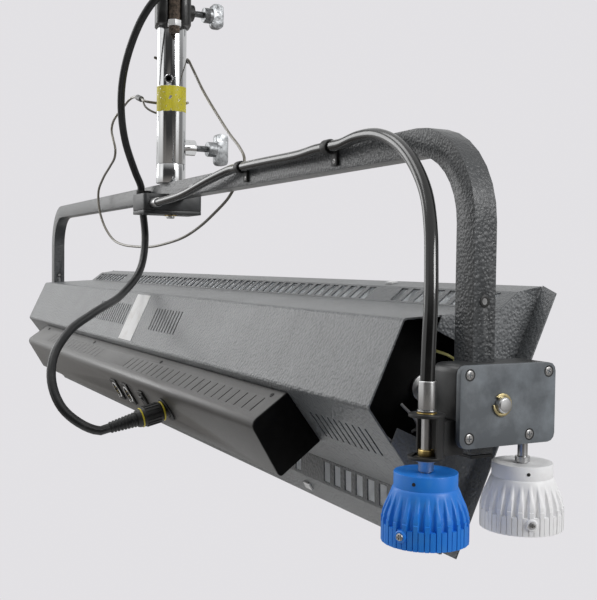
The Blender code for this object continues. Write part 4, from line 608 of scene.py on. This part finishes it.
# Pan unit, under the bar. A moulded nylon gearcase and its cover, with a brass wheel and a clip inside and
# below.
def moulding(name, slot, shade, dull, warm=-0.05):
    """Glass-filled nylon: close grain, faint flow marks and dust."""
    return worn(name, slot, (38.0, 0.4, 0.75, 5.0, 0.65), grey(shade, warm), grey(shade * 1.9 + 0.01, warm),
                dull, 0.12, grain=1300.0, depth=0.00005)


gear_nylon = moulding("gear_nylon", "gear_plastic", 0.03, 0.4)
turned_brass = worn("turned_brass", "brass", (180.0, 0.4, 0.7, 4.0), (0.72, 0.55, 0.22, 1.0),
                    (0.4, 0.29, 0.12, 1.0), 0.28, 0.2, 1.0)
satin_steel = Finish("satin_steel", "bright_steel")
turning = satin_steel.noise(900.0, 3.0, 0.6)
satin_steel.surface(satin_steel.mix(turning, grey(0.52), grey(0.66)), 0.24 + turning * 0.18, 1.0)
ease_all(gear_nylon, 0.0012, "pan_case", "pan_cover")
dress(turned_brass, "pan_wheel", "pan_circlip")
dress(satin_steel, "pan_worm")
eased("pan_ferrule", satin_steel, 0.0004)


# Tilt unit, on the right leg. Its cover is held by four countersunk cross-head screws, and the tilt spindle
# stands through it with a yellow-passivated clip in its groove.
def repeating_tree():
    """Geometry Nodes that repeat a mesh's faces at each of its loose points, turned and sized as it says."""
    tree = bpy.data.node_groups.new("set_out", "GeometryNodeTree")
    tree.interface.new_socket("Shape and places", in_out="INPUT", socket_type="NodeSocketGeometry")
    tree.interface.new_socket("Finish", in_out="INPUT", socket_type="NodeSocketMaterial")
    tree.interface.new_socket("Pieces", in_out="OUTPUT", socket_type="NodeSocketGeometry")
    nodes = Nodes(tree)
    given = tree.nodes.new("NodeGroupInput")
    is_place = nodes.add("GeometryNodeInputNamedAttribute", {"data_type": "BOOLEAN"}, {"Name": "place"})
    turn = nodes.add("GeometryNodeInputNamedAttribute", {"data_type": "QUATERNION"}, {"Name": "turn"})
    size = nodes.add("GeometryNodeInputNamedAttribute", {"data_type": "FLOAT_VECTOR"}, {"Name": "size"})
    places = nodes.add("GeometryNodeSeparateGeometry", {"domain": "POINT"},
                       {"Geometry": Value(nodes, given.outputs["Shape and places"]), "Selection": is_place})
    shape = Value(nodes, places.socket.node.outputs["Inverted"])
    spread = nodes.add("GeometryNodeInstanceOnPoints", None,
                       {"Points": places, "Instance": shape, "Rotation": turn, "Scale": size})
    real = nodes.add("GeometryNodeRealizeInstances", None, {"Geometry": spread})
    dressed = nodes.add("GeometryNodeSetMaterial", None,
                        {"Geometry": real, "Material": Value(nodes, given.outputs["Finish"])})
    result = tree.nodes.new("NodeGroupOutput")
    tree.links.new(dressed.socket, result.inputs["Pieces"])
    return tree


repeating = repeating_tree()
finish_socket = repeating.interface.items_tree["Finish"].identifier


def set_out(name, shape, places, finish):
    """One shape repeated at every place and turn, made by Geometry Nodes as one plain mesh."""
    work = bmesh.new()
    work.from_mesh(shape)
    own = len(work.verts)
    for place in places:
        work.verts.new(place.to_translation())
    mesh = mesh_of(name, work)
    marks = mesh.attributes.new("place", "BOOLEAN", "POINT")
    marks.data.foreach_set("value", [False] * own + [True] * len(places))
    turns = mesh.attributes.new("turn", "QUATERNION", "POINT")
    turned = [part for place in places for part in place.to_quaternion()]
    turns.data.foreach_set("value", [1.0, 0.0, 0.0, 0.0] * own + turned)
    sizes = mesh.attributes.new("size", "FLOAT_VECTOR", "POINT")
    sized = [part for place in places for part in place.to_scale()]
    sizes.data.foreach_set("vector", [1.0] * 3 * own + sized)
    guide = in_scene(name, mesh)
    modifier = guide.modifiers.new("set_out", "NODES")
    modifier.node_group = repeating
    modifier[finish_socket] = finish.material
    return plain_mesh(guide)


def put_each(name, shape, places, finish, body):
    """One piece that repeats a shape at every place."""
    put(name, set_out(name, shape, places, finish), finish, body)


def brick(size, where=Matrix()):
    """A block's mesh round its own middle."""
    work = bmesh.new()
    bmesh.ops.create_cube(work, size=1.0, matrix=where @ Matrix.Diagonal((*size, 1.0)))
    return mesh_of("brick", work)


def cross_head(radius, height):
    """A screw head with a cross recess, domed by its height."""
    sink = 0.0008
    slot_long, slot_wide, slot_deep = 1.25, 0.27, 0.0016
    dome = [(0.0, height), (radius * 0.55, height * 0.9), (radius * 0.9, height * 0.5), (radius, 0.0)]
    head = in_scene("head", lathe(dome + [(radius, -sink), (0.0, -sink)], sides=16))
    cutters = []
    for turn in (0.0, 90.0):
        size = (radius * slot_long, radius * slot_wide, slot_deep)
        spin = Matrix.Rotation(math.radians(turn), 4, "Z")
        cutters.append(in_scene("blade", brick(size, Matrix.Translation((0, 0, height)) @ spin)))
        head.modifiers.new("cross", "BOOLEAN").object = cutters[-1]
    mesh = plain_mesh(head)
    for blade in cutters:
        bpy.data.objects.remove(blade)
    return mesh


case_nylon = moulding("case_nylon", "gear_plastic", 0.016, 0.34)
# The tilt cover's nylon is a much lighter grey than its case's, which is the same plastic. The lighter grey is
# painted sheen for the light its +X face catches.
cover_nylon_painted_sheen = moulding("cover_nylon_painted_sheen", "gear_plastic", 0.12, 0.46, -0.1)
eased("tilt_case", case_nylon, 0.001)
eased("tilt_cover", cover_nylon_painted_sheen, 0.0007)
cover_face = 0.7217
screw_spots = ((-0.0289, -0.5367), (0.0444, -0.5367), (-0.0288, -0.5826), (0.0268, -0.583))
screw_places = [facing((cover_face, y, z), (1.0, 0.0, 0.0), y * 60.0) for y, z in screw_spots]
put_each("cover_screws", cross_head(0.0034, 0.0004), screw_places, screw_steel, "yoke")
seat = lathe([(0.0034, 0.0001), (0.0045, 0.0001), (0.0045, -0.0006), (0.0034, -0.0006)], sides=16)
put_each("screw_seats", seat, screw_places, case_nylon, "yoke")


def mottled(name, slot, grain, first, second, dull, metallic=0.0):
    """A finish that wavers between two colours."""
    made = Finish(name, slot)
    return made.surface(made.mix(made.noise(grain), first, second), dull, metallic)


passivated = mottled("passivated", "brass", 500.0, (0.78, 0.62, 0.25, 1.0), (0.58, 0.52, 0.36, 1.0), 0.3, 0.9)
eased("tilt_circlip", passivated, 0.0002)
dress(turned_brass, "tilt_wheel")
dress(satin_steel, "tilt_worm")
eased("tilt_spindle", satin_steel, 0.0003)


# Cup bracket. A moulded bracket on the tilt case carries the pan cup's shaft in two flanged brass bushes;
# the flexible shaft's steel ferrule meets it from above.
eased("cup_bracket", moulded_black, 0.0005)
ease_all(turned_brass, 0.0002, "bush_top", "bush_bottom")
eased("pan_input_shaft", satin_steel, 0.0002)
eased("bracket_ferrule", satin_steel, 0.0004)


# Flexible shaft. A rubber-covered spring sheath runs from the pan unit along the bar's front and down to
# the bracket, under two saddle clips with one screw each.
sheath_r = 0.00525
worm_y, worm_z = -0.034, -0.3767
sheath_start = 0.0376
sheath_end = -0.5502
blue_axis = (0.71, -0.0577)
behind_leg = [
    (0.572, -0.029, -0.371), (0.494, -0.024, -0.358), (0.438, -0.019, -0.35),
    (0.428, -0.019, -0.35), (0.4, -0.019, -0.35), (0.39, -0.019, -0.35),
    (0.341, -0.018, -0.35), (0.271, -0.018, -0.3505), (0.234, -0.019, -0.349),
    (0.224, -0.019, -0.349), (0.196, -0.019, -0.349), (0.186, -0.019, -0.349),
    (0.155, -0.02, -0.346), (0.121, -0.022, -0.348), (0.093, -0.024, -0.356),
    (0.065, -0.028, -0.37), (0.043, -0.032, -0.387), (0.026, -0.036, -0.406),
    (0.01, -0.043, -0.432), (0.0, -0.049, -0.46), (-0.006, -0.053, -0.483),
    (-0.0095, -0.0565, -0.512)]
sheath_corners = [(sheath_start + k * 2 * sheath_r, worm_y, worm_z) for k in range(2)]
sheath_corners += [(leg_out - back, y, z) for back, y, z in behind_leg]
sheath_corners += [(*blue_axis, sheath_end + k * 2 * sheath_r) for k in (1, 0)]
gloss_rubber = worn("gloss_rubber", "cord_rubber", (50.0, 0.5, 0.8, 4.0, 0.6), grey(0.005), grey(0.012),
                    0.16, 0.12, grain=300.0, depth=0.00004, coat_weight=0.4, coat_roughness=0.15)
sheath_tube = round_tube(smooth_route(sheath_corners, route_step), sheath_r)
sheath = put("sheath", sheath_tube, gloss_rubber, "yoke")
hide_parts("flex_sheath")
ease_all(moulded_black, 0.0004, "sheath_clip_left", "sheath_clip_right")
clip_screws = [facing((x, -0.0122, -0.3617), (0.0, -1.0, 0.0), x * 9.0) for x in (0.286, 0.49)]
put_each("clip_screws", cross_head(0.0032, 0.0012), clip_screws, screw_steel, "yoke")


# Safety wire. Stranded steel wire in a clear sleeve, hooked round the pole sleeve's back at both ends: a
# crimped ferrule closes its eye on the left, and a small ball stops its end on the right.
wire_r = 0.0019
hook_r = sleeve_r + wire_r + 0.0012
upper_hook_z, lower_hook_z = -0.171, -0.232
wire_corners = [
    (0.0125, 0.0245, -0.1823), (0.0573, 0.0245, -0.2227), (0.1074, 0.024, -0.2607),
    (0.153, 0.024, -0.2936), (0.1879, 0.0235, -0.3154), (0.204, 0.0225, -0.3312),
    (0.1934, 0.0215, -0.3514), (0.1699, 0.0215, -0.3675), (0.1559, 0.021, -0.3763),
    (0.1138, 0.02, -0.3927), (0.0686, 0.019, -0.4075), (0.0103, 0.016, -0.4219),
    (-0.0536, 0.01, -0.4305), (-0.0972, 0.004, -0.4342), (-0.1312, 0.0, -0.4339),
    (-0.1606, -0.003, -0.433), (-0.2055, -0.008, -0.4295), (-0.2427, -0.013, -0.4203),
    (-0.2671, -0.019, -0.401), (-0.284, -0.0225, -0.3783), (-0.2907, -0.024, -0.359),
    (-0.2874, -0.025, -0.3401), (-0.2548, -0.026, -0.3204), (-0.2088, -0.028, -0.3059),
    (-0.1753, -0.03, -0.2942), (-0.1689, -0.031, -0.2831), (-0.1773, -0.032, -0.2674),
    (-0.1872, -0.032, -0.2514), (-0.1799, -0.032, -0.2405), (-0.1606, -0.031, -0.2312),
    (-0.1278, -0.03, -0.2227), (-0.1078, -0.029, -0.217), (-0.0846, -0.028, -0.2156),
    (-0.0572, -0.0265, -0.2216), (-0.0309, -0.025, -0.23)]
hook_up = [compass_way(90.0 + a) * hook_r + Vector((0, 0, upper_hook_z)) for a in range(150, -30, -30)]
hook_low = [compass_way(270.0 - a) * hook_r + Vector((0, 0, lower_hook_z)) for a in range(110, 210, 25)]
wire_path = hook_up[:-2] + smooth_route(hook_up[-2:] + wire_corners + hook_low[:2], route_step) + hook_low[2:]
sleeved_wire = Finish("sleeved_wire", "wire_sleeve")
strands = sleeved_wire.noise(420.0, 2.0)
sleeved_wire.surface(sleeved_wire.mix(strands, (0.09, 0.078, 0.06, 1.0), (0.26, 0.24, 0.2, 1.0)), 0.3, 0.3,
                    strands, 0.0003, coat_weight=0.6)
wire_line = put("wire_line", round_tube(wire_path, wire_r, 12), sleeved_wire, "yoke")
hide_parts("safety_wire")
crimp_way = Vector((0.0263, 0.0015, -0.0084)).normalized()
crimp_grey = Finish("crimp_grey", "bright_steel")
crimp_grey.surface(crimp_grey.mix(crimp_grey.noise(400.0), grey(0.1), grey(0.22)), 0.45, 0.7,
                   crimp_grey.noise(800.0), 0.0002)
crimp_start = Vector((-0.07, -0.027, -0.218))
crimp_shape = lathe([(0.0, 0.0), (0.003, 0.0), (0.0042, 0.0012), (0.0042, 0.016), (0.003, 0.0175),
                     (0.0, 0.0175)], facing(crimp_start, crimp_way), 20)
crimp = put("wire_crimp", crimp_shape, crimp_grey, "yoke")
strand_corners = [crimp_start + crimp_way * 0.012, crimp_start + crimp_way * 0.019,
                  (-0.04, -0.0245, -0.236), (-0.027, -0.015, -0.245), (-0.0236, 0.002, -0.247),
                  (-0.021, 0.011, -0.247)]
strand_r = 0.0015
strand_tube = round_tube(smooth_route(strand_corners, 0.004), strand_r, 12)
second_strand = put("eye_strand", strand_tube, sleeved_wire, "yoke")
ball_r = 0.003
ball_place = (0.0002, 0.0242, -0.174)
ball_arc = [(ball_r * math.sin(a), ball_r * math.cos(a)) for a in (math.radians(20 * k) for k in range(1, 9))]
ball_shape = lathe([(0.0, ball_r)] + ball_arc + [(0.0, -ball_r)], Matrix.Translation(ball_place), 16)
ball = put("wire_stop", ball_shape, crimp_grey, "yoke")
run_length(wire_path)


# Cups. Moulded nylon bells, blue for pan and white for tilt, which an operating pole's hook turns from the
# floor. Each has a plain collar, ribs that broaden downward, and a stepped band of bars round its mouth.
cup_height = 0.0495
cup_ribs = 24
cup_profile = [(0.0, 0.0228), (0.0004, 0.023), (0.0104, 0.023), (0.0112, 0.0237), (0.014, 0.0249),
               (0.018, 0.0265), (0.024, 0.0292), (0.029, 0.0308), (0.0317, 0.0309)]
flute_top = 0.0135
flute_full = 0.028
flute_depth = 0.0027
band_r = 0.0315
bar_top = 0.0319
block_top = 0.0361
gap_depth = 0.0013
block_depth = 0.0002


def cup_envelope(depth):
    """The ribs' outer radius at a depth below the cup's top."""
    for (low, r_low), (high, r_high) in zip(cup_profile, cup_profile[1:]):
        if depth <= high:
            return r_low + (r_high - r_low) * (depth - low) / (high - low)
    return cup_profile[-1][1]


def ease(value, low, high):
    """A smooth step from 0 at low to 1 at high."""
    t = min(max((value - low) / (high - low), 0.0), 1.0)
    return t * t * (3 - 2 * t)


def cup_radius(depth, phase):
    """The cup's outer radius at a depth, where phase is 0 on a rib and 0.5 between two."""
    rib_half = 0.1 + 0.09 * ease(depth, flute_top, bar_top)
    flute = flute_depth * ease(depth, flute_top - 0.0015, flute_full) * ease(phase, rib_half, rib_half + 0.17)
    if depth >= bar_top and phase < 0.2:
        return band_r
    if depth >= block_top:
        return band_r - (gap_depth if phase < 0.265 else block_depth)
    return cup_envelope(depth) - flute


def cup_shell():
    """A cup's mesh round its own axis, from its top at height 0 down to its mouth."""
    depths = sorted([0.0, 0.0004, 0.01, 0.0104, 0.0112, 0.012, bar_top - 0.0003, bar_top, bar_top + 0.0002,
                     block_top - 0.0003, block_top, cup_height - 0.0004, cup_height]
                    + [flute_top - 0.0012 + 0.0012 * k for k in range(15)])
    phases = [-0.46, -0.38, -0.29, -0.27, -0.26, -0.21, -0.19, -0.1, 0.0, 0.1, 0.19, 0.21, 0.26, 0.27, 0.29,
              0.38, 0.46]
    angles = [2 * math.pi * (k + phase) / cup_ribs for k in range(cup_ribs) for phase in phases]
    rows = []
    for depth in depths:
        rows.append([(cup_radius(depth, abs(phases[i % len(phases)])), angle, -depth)
                     for i, angle in enumerate(angles)])
    inside = [(0.0285, -cup_height), (0.0285, -0.03), (0.0225, -0.014), (0.02, -0.0045),
              (0.009, -0.0045), (0.009, -0.024), (0.0042, -0.024), (0.0042, -0.0008), (0.017, -0.0008),
              (0.0186, 0.0)]
    rows += [[(radius, angle, z) for angle in angles] for radius, z in inside]
    rows.append(rows[0])
    work = bmesh.new()
    rings = [[work.verts.new((r * math.cos(a), r * math.sin(a), z)) for r, a, z in row] for row in rows[:-1]]
    rings.append(rings[0])
    for upper, lower in zip(rings, rings[1:]):
        for i in range(len(angles)):
            j = (i + 1) % len(angles)
            work.faces.new((upper[i], upper[j], lower[j], lower[i]))
    bmesh.ops.recalc_face_normals(work, faces=work.faces)
    return work


def cup(name, node, top, turn, finish, body):
    """One cup from its top's middle down, with its ribs turned as they are."""
    work = cup_shell()
    work.transform(Matrix.Translation(top) @ Matrix.Rotation(turn, 4, "Z"))
    mesh = mesh_of(name, work)
    mesh.shade_smooth()
    mesh.set_sharp_from_angle(angle=math.radians(38.0))
    piece = put(name, mesh, finish, body)
    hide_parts(node)


def nylon(name, slot, colour, dusty):
    """Moulded nylon: a close grain, a little dust and slightly uneven gloss."""
    return worn(name, slot, (110.0, 0.5, 0.8, 4.0, 0.6), colour, dusty, 0.4, 0.12, grain=2200.0, depth=0.00002)


blue_nylon = nylon("blue_nylon", "blue_plastic", (0.012, 0.2, 0.72, 1.0), (0.028, 0.225, 0.69, 1.0))
white_nylon = nylon("white_nylon", "white_plastic", (0.92, 0.92, 0.93, 1.0), (0.82, 0.81, 0.81, 1.0))
blue_top = (*blue_axis, -0.6055)
white_top = (0.7063, 0.034, -0.607)
cup("blue_cup", "pan_cup", blue_top, math.radians(-2.0), blue_nylon, "pan_input")
cup("white_cup", "tilt_cup", white_top, math.radians(3.0), white_nylon, "tilt_input")


# Head covers. Folded steel sheets with a hammered stove paint: the rear cover, the slotted vents with their
# front lips, and an end sheet on each side with a flange turned out along its front. A gusset fills each
# front corner.
tilt_z = -0.5595
head_at = Matrix.Translation((0.0, 0.0, tilt_z)) @ Matrix.Rotation(math.radians(-25.0), 4, "X") \
    @ Matrix.Translation((0.0, 0.0, 0.001))


def in_head(x, n, w):
    """A place in the head: along the light, forward, and up across it."""
    return head_at @ Vector((x, n, w))


# The cover paint's greys sit well above the yoke's black. The black stove paint is lightened as painted sheen
# for the bright reflection the covers catch. Its paler patches are random.
cover_paint = textured_paint("hammered_cover_painted_sheen", "cover_paint", grey(0.1, -0.06), grey(0.15, -0.05), 0.28,
                             380.0, 0.0013)
smooth_paint = textured_paint("smooth_cover", "cover_paint", grey(0.06, 0.03), grey(0.078, 0.03), 0.36,
                              900.0, 0.00012)
dress(cover_paint, "rear_cover", "upper_vent", "lower_vent")
ease_all(cover_paint, 0.0003, "end_plate_right", "end_plate_left")
gusset_corners = [(0.038, 0.105), (0.0595, 0.12), (0.062, 0.1192), (0.0606, 0.102)]
gusset_in, gusset_out = 0.6425, 0.6435
for side in (1, -1):
    for up in (1, -1):
        work = bmesh.new()
        near = [work.verts.new(in_head(side * gusset_in, n, up * w)) for n, w in gusset_corners]
        far = [work.verts.new(in_head(side * gusset_out, n, up * w)) for n, w in gusset_corners]
        work.faces.new(near)
        work.faces.new(far)
        for k in range(3):
            work.faces.new((near[k], near[(k + 1) % 3], far[(k + 1) % 3], far[k]))
        bmesh.ops.recalc_face_normals(work, faces=work.faces)
        put("vent_gusset", mesh_of("vent_gusset", work), cover_paint, "head")


# Lip clips and back label. A white plastic spring clip sits on each front lip over the plain gaps in the
# vents, and a bare white paper label is stuck to the back panel.
clip_white = moulding("clip_white", "white_plastic", 0.62, 0.42, 0.0)
clip_block = brick((0.013, 0.0075, 0.0016))
clip_x = 0.43
lip_foot = (0.038, 0.105)


def lying(way):
    """A turn whose X runs along the light and whose Y runs along a way."""
    along = Vector((1, 0, 0))
    return Matrix((along, way, along.cross(way))).transposed().to_4x4()


lip_clips = []
for x in (-clip_x, clip_x):
    for up in (1, -1):
        lip_way = Vector((0.0, 0.82, up * 0.572))
        lip_out = Vector((0.0, -0.572, up * 0.82))
        middle = Vector((x, lip_foot[0], up * lip_foot[1])) + lip_way * 0.013 + lip_out * 0.0011
        lip_clips.append(head_at @ Matrix.Translation(middle) @ lying(lip_way))
put_each("lip_clips", clip_block, lip_clips, clip_white, "head")
label_size = (0.057, 0.0003, 0.068)
label_middle = (-0.0035, -0.05665, 0.0004)
label_paper = worn("label_paper", "white_plastic", (70.0, 0.5, 0.8, 5.0, 0.7), grey(0.8), grey(0.62, 0.04),
                   0.55)
label = in_scene("label", brick(label_size, head_at @ Matrix.Translation(label_middle)))
label.modifiers.new("round", "BEVEL").width = 0.00012
put("back_label", plain_mesh(label), label_paper, "head")


# Inside of the head. A bright bent reflector and the pale board lie behind the opal diffuser and the
# egg-crate louvre; black moulded caps close the ends, with the mains wires tucked in the recess.
reflector_sheet = Finish("reflector_sheet", "reflector")
brushed = reflector_sheet.streaks(3.0, 20.0, 900.0, 900.0)
reflector_sheet.surface(reflector_sheet.mix(brushed, grey(0.7), grey(0.86)), 0.22 + brushed * 0.15, 0.85)
opal = Finish("opal", "diffuser")
opal.surface(opal.mix(opal.noise(25.0), grey(0.86, -0.03), grey(0.9, -0.03)), 0.55, relief=opal.noise(900.0),
             depth=0.00004, transmission_weight=0.75)
chip_pitch = 0.012
board_mask = Finish("board_mask", "board")
chip_wave = board_mask.math("SINE", board_mask.axes(board_mask.place)[0] * (2 * math.pi / chip_pitch), 0.0)
chips = board_mask.between(chip_wave, 0.7, 0.75)
board_mask.surface(board_mask.mix(chips, grey(0.78), (0.85, 0.72, 0.3, 1.0)), 0.4)
dress(reflector_sheet, "reflector", "front_louvre")
dress(opal, "diffuser")
dress(board_mask, "led_board")
# The moulded caps get a near-black colour and a weak specular, darker than the other black plastic. This is
# painted shade for the shadow in the ends' recesses.
black_with_painted_shade = worn("black_with_painted_shade", "black_plastic", (90.0, 0.45, 0.8, 4.0, 0.6), grey(0.0012), grey(0.004),
                    0.62, grain=1300.0, depth=0.00004, specular_ior_level=0.12)
dress(black_with_painted_shade, "end_cap_right", "end_cap_left")
dress(satin_steel, "left_pivot_pin")
wire_yellow = mottled("wire_yellow", "cord_rubber", 200.0, (0.62, 0.58, 0.18, 1.0), (0.5, 0.47, 0.2, 1.0),
                      0.4)
wire_white = mottled("wire_white", "cord_rubber", 200.0, grey(0.62), grey(0.48), 0.4)
recess_wire_r = 0.0013
wire_a = [(0.6205, 0.002, -0.525), (0.626, 0.009, -0.5285), (0.631, 0.018, -0.532),
          (0.63, 0.026, -0.5365), (0.626, 0.031, -0.541), (0.6205, 0.033, -0.544)]
wire_b = [(0.6205, -0.02, -0.572), (0.626, -0.018, -0.576), (0.631, -0.015, -0.581),
          (0.631, -0.011, -0.587), (0.627, -0.009, -0.592), (0.6205, -0.0085, -0.595)]
wire_c = [(0.6205, -0.04, -0.593), (0.624, -0.038, -0.596), (0.628, -0.035, -0.5995),
          (0.6205, -0.033, -0.602)]
for letter, finish, corners in (("a", wire_yellow, wire_a), ("b", wire_white, wire_b),
                                ("c", wire_white, wire_c)):
    tube = round_tube(smooth_route(corners, 0.002), recess_wire_r, 10)
    put("recess_wire_" + letter, tube, finish, "head")


# Driver box. A folded sheet box on the lower side of the rear cover, cooled through two rows of slits in
# its upper face and closed by black end caps; small screws hold it along its upper edge.
box_foot = Vector((0.0, -0.0625, -0.5759))
box_edge = Vector((0.0, -0.0992, -0.6019))
face_way = (box_edge - box_foot).normalized()
face_out = face_way.cross(Vector((1, 0, 0)))
slit_size = (0.002, 0.019, 0.012)
slit_down = 0.0222
slit_rows = []
for first, last, count, wide in ((0.069, 0.472, 22, 1.0), (-0.372, -0.072, 16, 0.7)):
    for k in range(count):
        middle = box_foot + face_way * slit_down
        middle.x = first + (last - first) * k / (count - 1)
        slit_rows.append(Matrix.Translation(middle) @ lying(face_way)
                         @ Matrix.Diagonal((wide, 1.0, 1.0, 1.0)))
slits = set_out("slit_cutter", brick(slit_size), slit_rows, smooth_paint)
slit_cutter = in_scene("slit_cutter", slits)
eased("driver_box", smooth_paint, 0.0004, [slit_cutter])
bpy.data.objects.remove(slit_cutter)
# The box caps take the same near-black painted shade.
ease_all(black_with_painted_shade, 0.0006, "box_cap_right", "box_cap_left")
dress(satin_steel, "led_driver")
screw_down, screw_proud = 0.0075, 0.0002
box_screws = []
for x in (-0.455, -0.145, 0.164, 0.478):
    spot = box_foot + face_way * screw_down + face_out * screw_proud
    spot.x = x
    box_screws.append(facing(spot, face_out, x * 7.0))
put_each("box_screws", cross_head(0.0026, 0.0008), box_screws, moulded_black, "head")


# Sockets and switch, on the box's back face. Two round data sockets on square flanges with nickel rims and
# gold pins, and a rocker switch in its bezel.
back_face = Matrix(((1, 0, 0, 0), (0, -0.50798, -0.86137, -0.08392), (0, 0.86137, -0.50798, -0.62772),
                    (0, 0, 0, 1)))
nickel = mottled("nickel", "bright_steel", 500.0, grey(0.72), grey(0.52), 0.22, 1.0)
ease_all(moulded_black, 0.0003, "data_in_socket", "data_out_socket", "power_switch", "switch_rocker",
         "power_inlet")
socket_places = [back_face @ Matrix.Translation((x, 0, 0.0025)) for x in (0.035, 0.085)]
rim = lathe([(0.0095, 0.0003), (0.011, 0.0006), (0.0116, 0.0), (0.011, -0.0006), (0.0095, -0.0006)], sides=28)
put_each("socket_rims", rim, socket_places, nickel, "head")
pin_ring_r = 0.0052
pin_places = [place @ Matrix.Translation(compass_way(degrees) * pin_ring_r + Vector((0.0, 0.0, -0.0006)))
              for place in socket_places for degrees in (0.0, 72.0, 144.0, 216.0, 288.0)]
pin = lathe([(0.0, 0.001), (0.0007, 0.0008), (0.0008, -0.001), (0.0, -0.001)], sides=10)
put_each("socket_pins", pin, pin_places, passivated, "head")
flange_screws = [place @ Matrix.Translation((x, y, 0.0)) for place in socket_places
                 for x, y in ((-0.0098, -0.0122), (0.0098, 0.0122))]
put_each("flange_screws", cross_head(0.0019, 0.0006), flange_screws, nickel, "head")


# Inlet plug. The locking plug's ridged coupling ring sits between two yellow bands, and a ribbed rubber
# strain relief tapers down to the lead, whose lower stretch starts here.
plug_turn = facing(back_face @ Vector((plug_end.x, 0.0, 0.0)), plug_way)
plug_body = lathe([(0.0, -0.003), (0.0085, -0.003), (0.0085, 0.007), (0.0108, 0.008), (0.0116, 0.01),
                   (0.0116, 0.029), (0.0108, 0.031), (0.0104, 0.036), (0.0094, 0.038), (0.0074, 0.039),
                   (0.0066, 0.046), (0.0058, 0.066), (0.0056, 0.07), (0.0, 0.07)], plug_turn, 32)
plug_piece = put("plug_body", plug_body, moulded_black, "head")
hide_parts("inlet_plug")
ridges = 18
ridge_places = [plug_turn @ Matrix.Rotation(2 * math.pi * k / ridges, 4, "Z")
                @ Matrix.Translation((0.0116, 0, 0.0195)) for k in range(ridges)]
put_each("plug_ridges", brick((0.0016, 0.0018, 0.017)), ridge_places, moulded_black, "head")
rib_start, rib_pitch, rib_taper = 0.041, 0.0039, 0.035
relief_places = []
for k in range(8):
    wide = 1.0 - rib_taper * k
    relief_places.append(plug_turn @ Matrix.Translation((0, 0, rib_start + rib_pitch * k))
                         @ Matrix.Diagonal((wide, wide, 1.0, 1.0)))
relief_rib = lathe([(0.005, 0.001), (0.0084, 0.001), (0.0088, 0.0), (0.0084, -0.001), (0.005, -0.001)],
                   sides=24)
put_each("relief_ribs", relief_rib, relief_places, lead_rubber, "head")
band_yellow = mottled("band_yellow", "brass", 300.0, (0.62, 0.52, 0.02, 1.0), (0.52, 0.42, 0.03, 1.0), 0.4)
band_inner, band_outer = 0.006, 0.0112
for start in (0.006, 0.0315):
    band = lathe([(band_inner, start), (band_outer, start), (band_outer + 0.0004, start + 0.0008),
                  (band_outer, start + 0.0016), (band_inner, start + 0.0016)], plug_turn, 32)
    put("plug_band", band, band_yellow, "head")
run_length(lower_path)


# Cup screws. A round-head screw in a raised boss clamps each cup to its shaft, and a pin goes through each
# collar.
boss_down, boss_out = 0.0405, 0.0312
pin_down, pin_out = 0.0052, 0.02305
boss_profile = [(0.0, 0.0016), (0.0036, 0.0016), (0.0044, 0.0008), (0.0047, -0.0016), (0.0, -0.0016)]
pin_profile = [(0.0, 0.0002), (0.0013, 0.0002), (0.0015, -0.001), (0.0, -0.001)]
for top, finish, body, boss_degrees, pin_degrees in ((blue_top, blue_nylon, "pan_input", -67.0, -56.0),
                                                     (white_top, white_nylon, "tilt_input", -27.0, -29.0)):
    boss_way = compass_way(boss_degrees)
    boss_at = facing(Vector(top) - Vector((0.0, 0.0, boss_down)) + boss_way * boss_out, boss_way)
    put("cup_boss", lathe(boss_profile, boss_at, 24), finish, body)
    screw_at = boss_at @ Matrix.Translation((0, 0, 0.0017))
    put_each("cup_screw", cross_head(0.0028, 0.001), [screw_at], screw_steel, body)
    pin_way = compass_way(pin_degrees)
    pin_at = facing(Vector(top) - Vector((0.0, 0.0, pin_down)) + pin_way * pin_out, pin_way)
    put("cup_pin", lathe(pin_profile, pin_at, 16), moulded_black, body)
